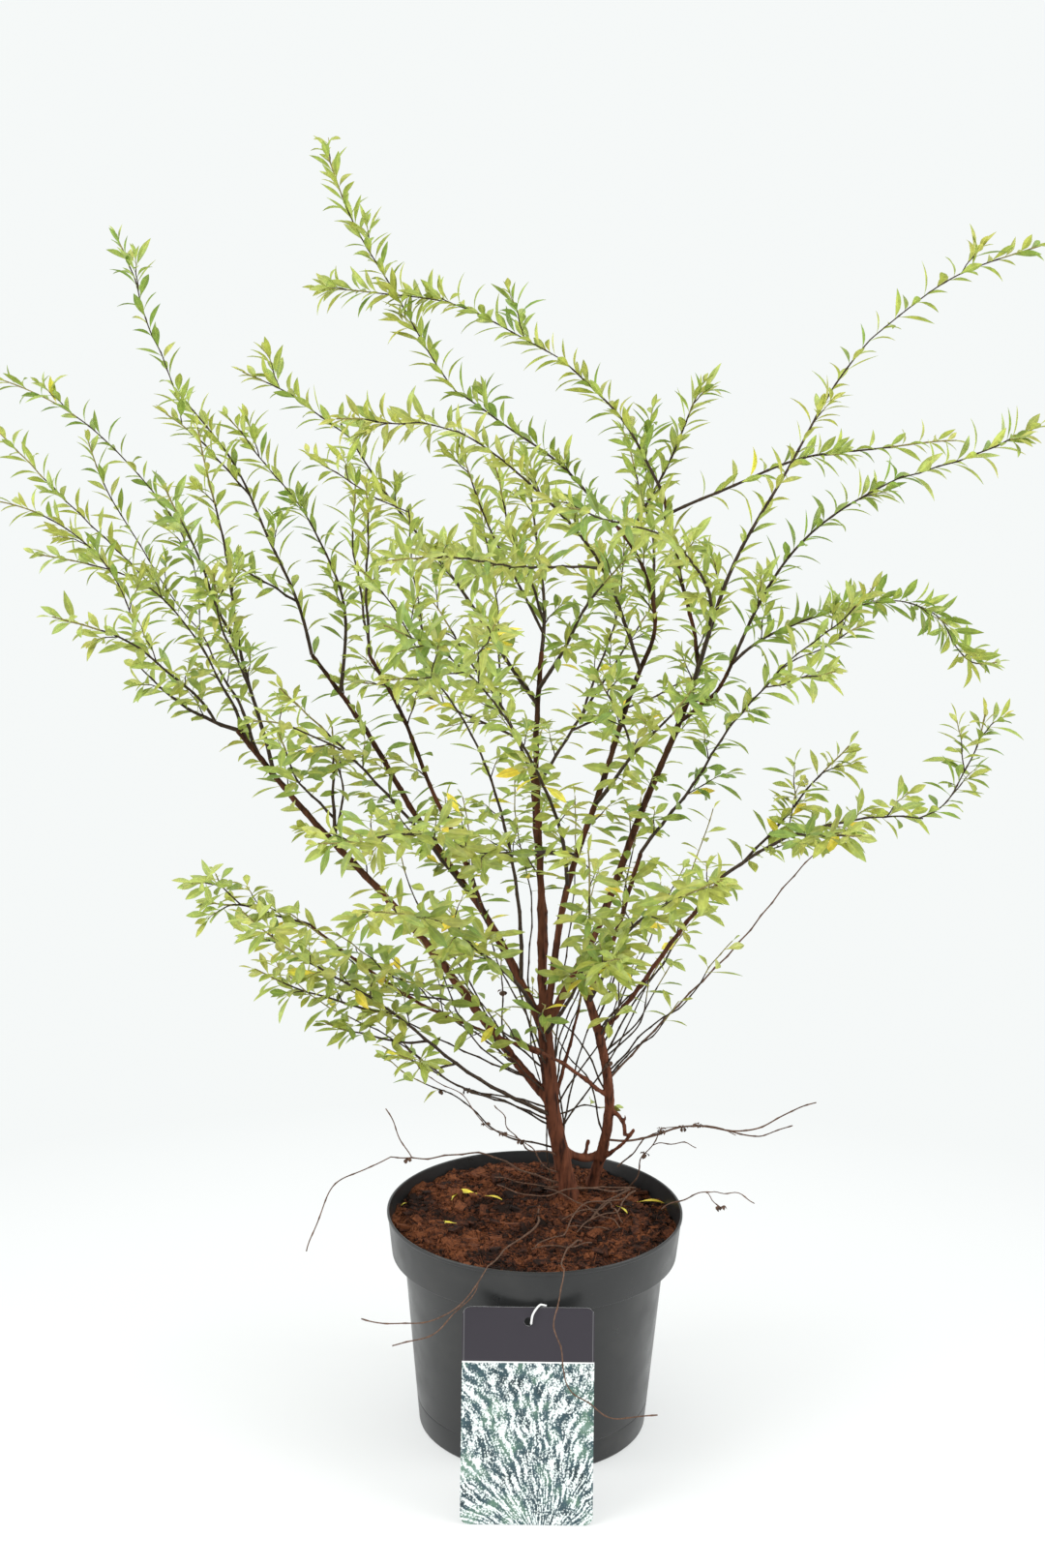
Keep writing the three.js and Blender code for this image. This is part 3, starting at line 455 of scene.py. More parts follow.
# Dry flower husks: the twig row that carries each and how far along it.
HUSKS = [
    ["sprig_node/0", 1], ["sprig_node/1", 0.5], ["sprig_node/0", 0.66], ["sprig_right/2", 1],
    ["sprig_cluster/0", 0.75], ["sprig_cluster/0", 1], ["sprig_cluster/1", 0.2],
    ["bare_right/0", 0.35], ["bare_left/0", 0.9], ["wisp_left_low/0", 0.5],
    ["wisp_left_drop/0", 0.7], ["wisp_left_up/0", 0.6], ["wisp_weave/0", 0.4], ["wisp_right_fan/0", 0.2],
]

# Fallen leaves on the soil: where the stalk's end lies, which way the leaf points, and its length.
FALLEN_LEAVES = [
    [[-37, 32], 165, 15], [[-32, 30], -15, 12], [[-53, 19], 80, 12], [[-49, -6], 175, 13],
    [[-85, 17], 60, 7], [[66, 30], 10, 19], [[76, 33], -25, 12], [[52, 16], -50, 12],
]

# ---- settings in the sidebar


def length(name, description, millimetres):
    """A length that the user can change, shown in the scene's own unit."""
    metres = {"default": millimetres * MM, "subtype": "DISTANCE", "unit": "LENGTH"}
    return FloatProperty(name=name, description=description, min=0, precision=4, **metres)


def colour(name, painted, red, green, blue):
    """A colour that the user can change, in linear light."""
    light = {"default": (red, green, blue), "min": 0, "max": 1, "size": 3, "subtype": "COLOR"}
    return FloatVectorProperty(name=name, description="Colour of " + painted, **light)


def number(name, description, count):
    """A count that the user can change."""
    return IntProperty(name=name, description=description, default=count, min=0)


class PotSettings(PropertyGroup):
    """Sizes and colours of the pot"""

    height: length("Height", "Height of the pot over all", 143)
    rim_radius: length("Rim radius", "Radius of the pot outside its rim", 92.9)
    base_radius: length("Base radius", "Radius of the pot at its foot", 72.3)
    wall: length("Wall", "Thickness of the pot's wall", 1.4)
    band_height: length("Band height", "Height of the wider band under the rim", 27.5)
    plastic: colour("Plastic", "the pot's plastic", 0.014, 0.0145, 0.015)
    dust: colour("Dust", "the dust on the plastic", 0.1, 0.093, 0.084)


class SoilSettings(PropertyGroup):
    """Sizes and colours of the soil"""

    level: length("Level", "Height of the soil in the middle of the pot", 133)
    edge_drop: length("Edge drop", "How much lower the soil lies at the pot's wall", 3)
    back_rise: length("Back rise", "How much higher the soil lies at the back left", 5.5)
    crumbs: number("Crumbs", "Number of loose crumbs", 7000)
    chips: number("Chips", "Number of bark chips", 620)
    fibres: number("Fibres", "Number of loose fibres", 700)
    dark: colour("Dark soil", "the moist soil", 0.013, 0.0055, 0.0035)
    mid: colour("Red soil", "most of the soil", 0.07, 0.021, 0.009)
    light: colour("Light soil", "the dry soil and fibres", 0.18, 0.058, 0.022)


class LabelSettings(PropertyGroup):
    """Sizes and colours of the label"""

    width: length("Width", "Width of the card", 78)
    height: length("Height", "Height of the card", 126)
    thickness: length("Thickness", "Thickness of the card", 0.8)
    corner: length("Corner", "Radius of the card's corners", 5)
    lean: FloatProperty(
        name="Lean",
        description="How far the card leans back against the pot",
        default=float(np.radians(16.5)),
        subtype="ANGLE",
        unit="ROTATION",
    )
    header: colour("Header", "the card's bare header", 0.034, 0.029, 0.038)
    blossom: colour("Blossom", "the blossom in the card's picture", 0.83, 0.9, 0.88)
    shade: colour("Shade", "the dark parts of the picture", 0.03, 0.062, 0.075)
    card_back: colour("Back", "the card's back", 0.72, 0.73, 0.72)
    tie: colour("Tie", "the tie", 0.86, 0.86, 0.85)


class WoodSettings(PropertyGroup):
    """Looks of the stems, boughs and dead twigs"""

    relief: length("Relief", "Depth of the bark's ridges on the trunk", 0.4)
    voxel: length("Voxel", "Grain at which the limbs are fused", 0.76)
    bark: colour("Bark", "the bark on the stems", 0.148, 0.049, 0.025)
    bark_high: colour("High bark", "the bark on the boughs' upper parts", 0.036, 0.0165, 0.007)
    bark_crack: colour("Cracks", "the bark's cracks", 0.026, 0.01, 0.007)
    dry: colour("Dry wood", "the dead twigs", 0.12, 0.066, 0.043)


class FoliageSettings(PropertyGroup):
    """Sizes and colours of the shoots, twigs and leaves"""

    leaf_length_low: length("Low leaf length", "Length of the leaves low in the crown", 18.5)
    leaf_length_high: length("High leaf length", "Length of the leaves high in the crown", 18)
    leaf_width_low: length("Low leaf width", "Width of the leaves low in the crown", 5.35)
    leaf_width_high: length("High leaf width", "Width of the leaves high in the crown", 4.45)
    leaf_spacing_low: length("Low leaf spacing", "Distance from leaf to leaf, low in the crown", 4.3)
    leaf_spacing_high: length("High leaf spacing", "Distance from leaf to leaf, high in the crown", 3.0)
    twig_spacing_low: length("Low twig spacing", "Distance from twig to twig, low in the crown", 24)
    twig_spacing_high: length("High twig spacing", "Distance from twig to twig, high in the crown", 75)
    twig_length: length("Twig length", "Length of a usual side twig", 27)
    fresh: colour("Fresh leaves", "most leaves", 0.342, 0.382, 0.068)
    bright: colour("Bright leaves", "the young leaves at the tips", 0.385, 0.406, 0.086)
    deep: colour("Deep leaves", "the older leaves", 0.222, 0.292, 0.046)
    yellow: colour("Yellow leaves", "the fading leaves", 0.7, 0.56, 0.05)
    shoot: colour("Shoots", "the thin brown shoots", 0.04, 0.0235, 0.0125)
    young_shoot: colour("Young shoots", "the shoots' green ends", 0.24, 0.2, 0.06)


class StageSettings(PropertyGroup):
    """Floor, light and camera of the studio"""

    floor: colour("Floor", "the studio's floor", 0.88, 0.88, 0.88)
    backdrop: colour("Backdrop", "the light from all round", 0.92, 0.945, 0.94)
    front_light: FloatProperty(
        name="Front light",
        description="How bright the light from the viewer's side is, against that from behind",
        default=0.5,
        min=0,
        max=1,
        subtype="FACTOR",
    )
    lens: length("Lens", "Focal length of the camera", 50)


class ShrubSettings(PropertyGroup):
    """All settings of the shrub"""

    pot: PointerProperty(name="Pot", description="Sizes and colours of the pot", type=PotSettings)
    soil: PointerProperty(name="Soil", description="Sizes and colours of the soil", type=SoilSettings)
    label: PointerProperty(name="Label", description="Sizes and colours of the label", type=LabelSettings)
    wood: PointerProperty(name="Wood", description="Looks of the stems and boughs", type=WoodSettings)
    foliage: PointerProperty(name="Foliage", description="Twigs and leaves", type=FoliageSettings)
    stage: PointerProperty(name="Studio", description="Floor, light and camera", type=StageSettings)


# ---- numbers

# What turns keys or a point into the angle of a large sine.
KEY_STEPS = np.array([12.9898, 78.233, 37.719])
KEY_START = 0.5
SINE_SIZE = 43758.5453


def leftover(value):
    """What a large sine of the value leaves past its whole part: a number from 0 up to 1."""
    large = np.sin(value) * SINE_SIZE
    return large - np.floor(large)


def chance(seed, count):
    """The same number from 0 up to 1 every time for the same two keys."""
    return leftover(np.asarray(seed) * KEY_STEPS[0] + np.asarray(count) * KEY_STEPS[1] + KEY_START)


def unit(ways):
    """The same ways, each one long."""
    return ways / np.linalg.norm(ways, axis=-1, keepdims=True)


def gentle(share):
    """A share that starts and ends gently: three times its square less twice its cube."""
    return share * share * (3 - 2 * share)


def smoothstep(value, low, high):
    """0 below low, 1 above high, and a gentle rise between them."""
    return gentle(np.clip((np.asarray(value, float) - low) / (high - low), 0, 1))


def blend(low, high, share):
    """low at share 0, high at share 1, and a straight line between them."""
    return low + (high - low) * share


def noise(points, size, seed=0):
    """Smooth noise from −1 to 1: a chance number at each corner of a lattice of cubes of that size,
    blended gently from corner to corner in each direction."""
    scaled = points / size
    cell = np.floor(scaled)
    eased = gentle(scaled - cell)
    total = np.zeros(len(points))
    for corner in np.ndindex(2, 2, 2):
        weight = np.prod(np.where(corner, eased, 1 - eased), axis=1)
        total += weight * leftover((cell + corner) @ KEY_STEPS + seed)
    return 2 * total - 1


# ---- shapes

# The thirteen ways from the middle of a cube to its faces, edges and corners, opposite ones once.
FIXED_WAYS = unit(np.array([way for way in np.ndindex(3, 3, 3) if way > (1, 1, 1)]) - 1.0)
CORNER_LIMIT = 0.45


class Shape:
    """Points, faces as arrays of corner numbers, a place (u, v) on the surface for each point, and the
    number of each face's finish."""

    def __init__(self, points, faces, places=None, finishes=0):
        self.points = np.asarray(points, float)
        self.faces = faces
        self.places = np.zeros((len(self.points), 2)) if places is None else places
        if np.isscalar(finishes):
            finishes = [np.full(len(face), finishes) for face in faces]
        self.finishes = finishes


def ring_quads(rings, sides):
    """The four-sided faces between rings of that many points, each ring closed on itself."""
    ring, side = np.meshgrid(np.arange(rings - 1), np.arange(sides), indexing="ij")
    here = ring * sides + side
    beside = ring * sides + (side + 1) % sides
    return np.stack([here, beside, beside + sides, here + sides], axis=-1).reshape(-1, 4)


def even_turns(sides):
    """That many angles, evenly round a full turn."""
    return 2 * np.pi * np.arange(sides) / sides


def frames_of(path):
    """The way along a path at each point and two ways square to it. Both come from one fixed way, that
    of thirteen to which the path never runs close."""
    along = unit(np.gradient(path, axis=0))
    fixed = FIXED_WAYS[np.argmin(np.abs(along @ FIXED_WAYS.T).max(axis=0))]
    normal = unit(fixed - (along @ fixed)[:, None] * along)
    return along, normal, np.cross(along, normal)


def sweep(path, radii, sides):
    """A closed tube. Round each point of the path stands a ring of that radius, square to the path: at
    each angle the cosine goes along one square way and the sine along the other. A flat face closes
    each end."""
    _, normal, binormal = frames_of(path)
    turn = even_turns(sides)
    ring = np.cos(turn)[None, :, None] * normal[:, None] + np.sin(turn)[None, :, None] * binormal[:, None]
    points = path[:, None] + np.asarray(radii)[:, None, None] * ring
    u, v = np.meshgrid(turn / (2 * np.pi), np.linspace(0, 1, len(path)))
    first = np.arange(sides)
    caps = np.stack([first[::-1], first + (len(path) - 1) * sides])
    places = np.stack([u, v], axis=-1).reshape(-1, 2)
    return Shape(points.reshape(-1, 3), [ring_quads(len(path), sides), caps], places)


def turned(profile, sides):
    """A profile (radius, height) turned about the upright axis: at each angle a point lies its radius
    times the cosine across and times the sine back. The profile's two ends lie on the axis, and each is
    one point."""
    profile = np.asarray(profile, float)
    radius, height = profile[1:-1].T
    turn = even_turns(sides)
    x = radius[:, None] * np.cos(turn)
    y = radius[:, None] * np.sin(turn)
    z = np.repeat(height[:, None], sides, axis=1)
    ring = np.stack([x, y, z], axis=-1).reshape(-1, 3)
    poles = [[0, 0, profile[0, 1]], [0, 0, profile[-1, 1]]]
    side = np.arange(sides)
    after = (side + 1) % sides
    last = len(ring) - sides
    foot = np.stack([np.full(sides, len(ring)), after, side], axis=-1)
    head = np.stack([np.full(sides, len(ring) + 1), last + side, last + after], axis=-1)
    return Shape(np.vstack([ring, poles]), [ring_quads(len(radius), sides), np.vstack([foot, head])])


def eased_corners(profile, radius, steps=4):
    """The same profile with each inner corner drawn as a small curve that the corner pulls towards
    itself, between points that lie a radius before and after it, or nearly half the way to the next."""
    profile = np.asarray(profile, float)
    eased = [profile[0]]
    share = np.linspace(0, 1, steps)[:, None]
    for before, corner, after in zip(profile, profile[1:], profile[2:]):
        back, on = before - corner, after - corner
        start = corner + back * min(CORNER_LIMIT, radius / np.linalg.norm(back))
        end = corner + on * min(CORNER_LIMIT, radius / np.linalg.norm(on))
        eased.extend((1 - share) ** 2 * start + 2 * share * (1 - share) * corner + share**2 * end)
    eased.append(profile[-1])
    return np.array(eased)


def joined_arrays(shapes):
    """Several shapes' points, corners, face sizes, places and finishes, each as one array."""
    starts = np.cumsum([0] + [len(shape.points) for shape in shapes])
    points = np.concatenate([shape.points for shape in shapes])
    places = np.concatenate([shape.places for shape in shapes])
    parts = [
        (face + start, done)
        for shape, start in zip(shapes, starts)
        for face, done in zip(shape.faces, shape.finishes)
    ]
    corners = np.concatenate([face.ravel() for face, _ in parts])
    sizes = np.concatenate([np.full(len(face), face.shape[1]) for face, _ in parts])
    finishes = np.concatenate([done for _, done in parts])
    return points, corners, sizes, places, finishes


def fill_mesh(name, shapes):
    """A mesh in metres made of several shapes, with their places as its UV map."""
    points, corners, sizes, places, finishes = joined_arrays(shapes)
    mesh = bpy.data.meshes.new(name)
    mesh.vertices.add(len(points))
    mesh.vertices.foreach_set("co", (points * MM).ravel())
    mesh.loops.add(len(corners))
    mesh.loops.foreach_set("vertex_index", corners)
    mesh.polygons.add(len(sizes))
    mesh.polygons.foreach_set("loop_start", np.cumsum(sizes) - sizes)
    mesh.polygons.foreach_set("material_index", finishes)
    mesh.uv_layers.new(name="place").uv.foreach_set("vector", places[corners].ravel())
    mesh.update(calc_edges=True)
    return mesh


def put_in_scene(name, content):
    """A new object with that mesh, light or camera in it."""
    thing = bpy.data.objects.new(name, content)
    bpy.context.scene.collection.objects.link(thing)
    return thing


def add_piece(name, mesh, materials, slot, replaced=(), sharp=40):
    """Shows a mesh as one piece that rides on the pot's body, smooth but for edges sharper than that
    many degrees, in place of the CAD nodes that it replaces."""
    mesh.name = name
    for material in materials:
        mesh.materials.append(material)
    mesh.polygons.foreach_set("use_smooth", np.ones(len(mesh.polygons), bool))
    mesh.set_sharp_from_angle(angle=np.radians(sharp))
    piece = put_in_scene(name, mesh)
    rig.ride(piece, BODY)
    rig.slot(piece, slot)
    if replaced:
        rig.replaces(piece, *replaced)


def add_shapes(name, shapes, *rest, **more):
    """Shows several shapes as one piece."""
    add_piece(name, fill_mesh(name, shapes), *rest, **more)


def worked_mesh(main, *helpers):
    """The mesh that an object's modifiers make of it. The object and its helpers go."""
    graph = bpy.context.evaluated_depsgraph_get()
    mesh = bpy.data.meshes.new_from_object(main.evaluated_get(graph))
    for thing in (main, *helpers):
        bpy.data.objects.remove(thing)
    return mesh


# ---- finishes

# The numbers of the Mix node's sockets for colours.
MIX_FIRST, MIX_SECOND, MIX_RESULT = 6, 7, 2

# Tones: each is a position along a value and how bright the colour is there.
BARK_TONES = ((0.46, 0.75), (0.6, 1), (0.78, 1.6))
HIGH_BARK_TONES = ((0.34, 0.5), (0.52, 1), (0.75, 2))
TWIG_TONES = ((0.3, 0.6), (0.5, 1), (0.75, 1.7))
LEAF_TONES = ((0.3, 0.8), (0.5, 1), (0.7, 1.32))
WEAR_TONES = ((0.3, 0.94), (0.7, 1))
FLOOR_TONES = ((0.3, 0.97), (0.7, 1))

# Where the bark's cracks end, the heights between which it darkens, and how bright it is where worn.
CRACK_END = 0.32
BARK_RISE = (0.2, 0.46)
WORN_BRIGHTNESS = 1.25

# A leaf's faces: the ending of the finish's name, its roughness, its gloss and its brightness.
LEAF_FACES = (("", 0.42, 0.45, 1), ("_under", 0.62, 0.3, 1.22))
LEAF_GREEN = (0.86, 1.0, 1.14)
LEAF_OLIVE = (1.05, 1.0, 0.97)
RIB_BRIGHTNESS = 1.5

# The soil's tones: where its dark and its light colour lie along the crumb.
SOIL_SPANS = {
    "soil": (0.3, 0.75),
    "soil_dark": (0.45, 1),
    "soil_red": (0.25, 0.8),
    "soil_light": (0, 0.62),
}

# The card's picture, in shares of the card's width and height.
CARD_ASPECT = 0.62
FAN_MIDDLE = 0.62
FAN_DEPTH = 0.12
FAN_STRETCH = 0.45
HEADER_FOOT = (0.7475, 0.7485)
LINE_HEIGHT = 0.745
LINE_EDGE = (0.003, 0.004)
LINE_COLOUR = (0.8, 0.8, 0.8)
OUTLINE_REACH = 0.488
OUTLINE_EDGE = (0.001, 0.004)
OUTLINE_COLOUR = (0.5, 0.5, 0.5)
LEAFY_GROUND = [(0.62, (0.12, 0.22, 0.16)), (0.72, (0.26, 0.36, 0.34))]
SHADE_TONES = ((0.36, 0.6), (0.5, 1.4))
BLACK = (0.0, 0.0, 0.0)


def shaded(colour_value, brightness):
    """The same colour, lighter or darker."""
    return tuple(min(1.0, float(part) * brightness) for part in colour_value)


def tinted(colour_value, factors):
    """A colour with each of its three parts made weaker or stronger."""
    return [part * factor for part, factor in zip(colour_value, factors)]


def toned(colour_value, tones):
    """The stops of one colour that is darker and lighter along a value."""
    return [(position, shaded(colour_value, brightness)) for position, brightness in tones]


def opaque(value):
    """A plain colour with full opacity as its fourth part. A socket stays as it is."""
    return value if isinstance(value, NodeSocket) else (*value, 1)


class Finish:
    """A material with one main shader, and short ways to add nodes to it."""

    def __init__(self, name, roughness, gloss):
        self.material = bpy.data.materials.new(name)
        self.material.use_nodes = True
        self.nodes = self.material.node_tree.nodes
        self.links = self.material.node_tree.links
        self.shader = self.nodes["Principled BSDF"]
        self.shader.inputs["Roughness"].default_value = roughness
        self.shader.inputs["Specular IOR Level"].default_value = gloss
        self.coordinates = self.nodes.new("ShaderNodeTexCoord")

    def node(self, kind, inputs, **settings):
        """Adds a node, sets its properties, and links or sets its inputs."""
        node = self.nodes.new("ShaderNode" + kind)
        for key, value in settings.items():
            setattr(node, key, value)
        for key, value in inputs.items():
            if isinstance(value, NodeSocket):
                self.links.new(value, node.inputs[key])
            else:
                node.inputs[key].default_value = value
        return node

    def part(self, kind, axis):
        """One part of the point on the object ("Object") or of the place on its surface ("UV")."""
        return self.node("SeparateXYZ", {0: self.coordinates.outputs[kind]}).outputs[axis]

    def point(self, x, y):
        """A flat point made of two values."""
        return self.node("CombineXYZ", {"X": x, "Y": y}).outputs["Vector"]

    def grain(self, scale, detail, stretch=(1, 1, 1), point=None):
        """Cloudy noise with that many clouds to the metre, stretched along the axes."""
        if point is None:
            place = {"Vector": self.coordinates.outputs["Object"], "Scale": stretch}
            point = self.node("Mapping", place).outputs["Vector"]
        inputs = {"Vector": point, "Scale": scale, "Detail": detail}
        return self.node("TexNoise", inputs).outputs["Fac"]

    def ramp(self, value, stops):
        """Colours along a value: each stop is a position and a colour."""
        node = self.node("ValToRGB", {"Fac": value})
        elements = node.color_ramp.elements
        while len(elements) < len(stops):
            elements.new(0.5)
        for element, (position, shade) in zip(elements, stops):
            element.position = position
            element.color = opaque(shade)
        return node.outputs["Color"]

    def scale(self, value, low, high, to_low=0, to_high=1):
        """A value between low and high carried over to another range, and held at its ends."""
        inputs = {"Value": value, "From Min": low, "From Max": high, "To Min": to_low, "To Max": to_high}
        return self.node("MapRange", inputs).outputs["Result"]

    def calculate(self, operation, first, second):
        """One sum on two values."""
        return self.node("Math", {0: first, 1: second}, operation=operation).outputs["Value"]

    def apart(self, first, second):
        """How far apart two values are."""
        return self.calculate("ABSOLUTE", self.calculate("SUBTRACT", first, second), 0)

    def mix(self, share, first, second):
        """Two colours mixed by a share of the second."""
        inputs = {"Factor": share, MIX_FIRST: opaque(first), MIX_SECOND: opaque(second)}
        return self.node("Mix", inputs, data_type="RGBA").outputs[MIX_RESULT]

    def paint(self, shade, roughness=None):
        """Gives the shader its colour and, where it varies, its roughness."""
        self.links.new(shade, self.shader.inputs["Base Color"])
        if roughness is not None:
            self.links.new(roughness, self.shader.inputs["Roughness"])

    def dent(self, height, strength, depth):
        """A bump from a height, with that depth in millimetres."""
        bump = self.node("Bump", {"Height": height, "Strength": strength, "Distance": depth * MM})
        self.links.new(bump.outputs["Normal"], self.shader.inputs["Normal"])


def plastic_finish(pot):
    """Moulded matt plastic: a fine grain, a varying gloss, and dust in level smears and specks."""
    finish = Finish("pot_plastic", roughness=0.42, gloss=0.5)
    dust = finish.scale(finish.grain(scale=28, detail=6), low=0.52, high=0.74, to_high=0.55)
    streaks = finish.grain(scale=9, detail=5, stretch=(1, 1, 3))
    smears = finish.scale(streaks, low=0.45, high=0.7, to_low=0.05, to_high=0.5)
    film = finish.calculate("MULTIPLY", dust, smears)
    specks = finish.scale(finish.grain(scale=420, detail=2), low=0.66, high=0.74, to_high=0.35)
    film = finish.calculate("MAXIMUM", film, finish.calculate("MULTIPLY", specks, smears))
    sheen = finish.scale(finish.grain(scale=60, detail=5), low=0.3, high=0.7, to_low=0.27, to_high=0.4)
    finish.paint(finish.mix(film, pot.plastic, pot.dust), sheen)
    finish.dent(finish.grain(scale=1500, detail=2), strength=0.22, depth=0.06)
    return finish.material


def soil_finish(name, soil):
    """Crumbly moist soil: dark to light red-brown clouds with a fine crumb."""
    finish = Finish(name, roughness=0.95, gloss=0.25)
    clouds = finish.scale(finish.grain(scale=55, detail=8), low=0.3, high=0.7, to_high=0.6)
    crumb = finish.grain(scale=600, detail=6)
    fine = finish.scale(crumb, low=0.3, high=0.7, to_high=0.4)
    patches = finish.grain(scale=22, detail=2)
    patches = finish.scale(patches, low=0.35, high=0.65, to_low=-0.16, to_high=0.16)
    value = finish.calculate("ADD", finish.calculate("ADD", clouds, fine), patches)
    low, high = SOIL_SPANS[name]
    stops = [(low, soil.dark), ((low + high) / 2, soil.mid), (high, soil.light)]
    finish.paint(finish.ramp(value, stops))
    finish.dent(crumb, strength=0.9, depth=0.6)
    return finish.material


def bark_finish(wood):
    """Thin bark: lengthwise fibres and cracks, red-brown on the stems and darker up the boughs, with
    paler worn patches."""
    finish = Finish("bark", roughness=0.82, gloss=0.15)
    fibres = finish.grain(scale=420, detail=8, stretch=(1, 1, 0.16))
    patches = finish.grain(scale=70, detail=6, stretch=(1, 1, 0.4))
    low = finish.ramp(fibres, [(CRACK_END, wood.bark_crack), *toned(wood.bark, BARK_TONES)])
    high = finish.ramp(fibres, toned(wood.bark_high, HIGH_BARK_TONES))
    shade = finish.mix(finish.scale(finish.part("Object", "Z"), *BARK_RISE), low, high)
    worn = finish.scale(patches, low=0.5, high=0.72, to_high=0.5)
    finish.paint(finish.mix(worn, shade, shaded(wood.bark, WORN_BRIGHTNESS)))
    finish.dent(fibres, strength=0.8, depth=0.5)
    return finish.material


def twig_finish(name, shade, roughness=0.7):
    """Thin wood: its colour, lighter and darker along fine fibres."""
    finish = Finish(name, roughness, gloss=0.3)
    fibres = finish.grain(scale=700, detail=5, stretch=(1, 1, 0.4))
    finish.paint(finish.ramp(fibres, toned(shade, TWIG_TONES)))
    finish.dent(fibres, strength=0.5, depth=0.15)
    return finish.material


def leaf_finish(name, shade, roughness, gloss, brightness):
    """A leaf's face: its colour with a paler rib down its middle, soft clouds, and a slow drift from
    clear green to olive."""
    finish = Finish(name, roughness, gloss)
    shade = shaded(shade, brightness)
    off_rib = finish.apart(finish.part("UV", "X"), 0.5)
    rib = finish.scale(off_rib, low=0.03, high=0.12, to_low=0.45, to_high=0)
    clouds = finish.grain(scale=240, detail=3)
    drift = finish.scale(finish.grain(scale=40, detail=2), low=0.38, high=0.62)
    green = finish.ramp(clouds, toned(tinted(shade, LEAF_GREEN), LEAF_TONES))
    olive = finish.ramp(clouds, toned(tinted(shade, LEAF_OLIVE), LEAF_TONES))
    finish.paint(finish.mix(rib, finish.mix(drift, green, olive), shaded(shade, RIB_BRIGHTNESS)))
    finish.dent(finish.scale(off_rib, low=0, high=0.5), strength=0.3, depth=0.2)
    return finish.material


def leaf_finishes(name, shade):
    """The finishes of a leaf's upper face and of its paler, more matt underside."""
    return [leaf_finish(name + ending, shade, *look) for ending, *look in LEAF_FACES]


def picture_finish(label):
    """The card's printed face: a bare dark header with a thin pale outline, a white line, and under it
    small white blossoms on sprays that rise in a fan from the picture's foot over blue-green shade."""
    finish = Finish("card_print", roughness=0.34, gloss=0.5)
    across, up = finish.part("UV", "X"), finish.part("UV", "Y")
    aside = finish.calculate("MULTIPLY", finish.calculate("SUBTRACT", across, FAN_MIDDLE), CARD_ASPECT)
    above = finish.calculate("ADD", up, FAN_DEPTH)
    even = finish.point(aside, up)
    curl = finish.grain(scale=3, detail=3, point=even)
    curl = finish.scale(curl, low=0.3, high=0.7, to_low=-0.09, to_high=0.09)
    angle = finish.calculate("ADD", finish.calculate("ARCTAN2", aside, above), curl)
    fan = finish.point(angle, finish.calculate("MULTIPLY", above, FAN_STRETCH))
    sprays = finish.grain(scale=26, detail=4, point=fan)
    sprays = finish.scale(sprays, low=0.36, high=0.62, to_low=0.08, to_high=0.92)
    flowers = finish.node("TexVoronoi", {"Vector": even, "Scale": 120}).outputs["Distance"]
    white = finish.scale(finish.calculate("SUBTRACT", sprays, flowers), low=-0.12, high=0.26)
    haze = finish.grain(scale=7, detail=5, point=even)
    ground = finish.ramp(haze, [*toned(label.shade, SHADE_TONES), *LEAFY_GROUND])
    picture = finish.mix(white, ground, label.blossom)
    header = finish.scale(up, *HEADER_FOOT)
    line = finish.scale(finish.apart(up, LINE_HEIGHT), *LINE_EDGE, to_low=1, to_high=0)
    from_outline = finish.apart(finish.apart(across, 0.5), OUTLINE_REACH)
    outline = finish.scale(from_outline, *OUTLINE_EDGE, to_low=0.25, to_high=0)
    face = finish.mix(header, picture, label.header)
    face = finish.mix(finish.calculate("MULTIPLY", outline, header), face, OUTLINE_COLOUR)
    finish.paint(finish.mix(line, face, LINE_COLOUR))
    finish.dent(finish.grain(scale=2500, detail=2), strength=0.06, depth=0.05)
    return finish.material


def smooth_finish(name, shade, roughness):
    """Smooth plastic or card with faint wear in its gloss and colour."""
    finish = Finish(name, roughness, gloss=0.5)
    wear = finish.grain(scale=90, detail=4)
    dull = finish.scale(wear, low=0.3, high=0.7, to_low=roughness - 0.05, to_high=roughness + 0.08)
    finish.paint(finish.ramp(wear, toned(shade, WEAR_TONES)), dull)
    return finish.material


def floor_finish(stage):
    """A pale floor with faint clouds, brightest in front of the pot. Farther out it takes on the
    backdrop's own light, so that it runs into the backdrop with no line."""
    finish = Finish("floor", roughness=1, gloss=0)
    place = {0: finish.coordinates.outputs["Object"], 1: BRIGHT_SPOT}
    away = finish.node("VectorMath", place, operation="DISTANCE").outputs["Value"]
    glow = finish.scale(away, *BRIGHT_REACH, to_low=FLOOR_GLOW)
    near = finish.ramp(finish.grain(scale=3, detail=3), toned(stage.floor, FLOOR_TONES))
    finish.paint(finish.mix(glow, near, BLACK))
    finish.links.new(finish.mix(glow, BLACK, stage.backdrop), finish.shader.inputs["Emission Color"])
    finish.shader.inputs["Emission Strength"].default_value = 1
    return finish.material


# ---- the pot and its soil

DRAIN_RADIUS = 58
DRAIN_WIDTH = 9
DRAIN_DEPTH = 1.5
DRAIN_SLOPE = 1
DRAIN_HOLES = 6
DRAIN_HOLE_RADIUS = 3
FLOOR_THICKNESS = 3
FOOT_BEVEL = 1.5
BAND_FOOT_RADIUS = 89.6
WALL_TOP_RADIUS = 82
SEAM_HEIGHT = 18
SEAM_HALF_HEIGHT = 0.6
SEAM_DEPTH = 0.45
SEAM_STEP = 0.1
LIP_STEP = 0.7
LIP_DROPS = (3.2, 2.6, 2.2)
ROD_FOOT = -3
ROD_STEP = 5


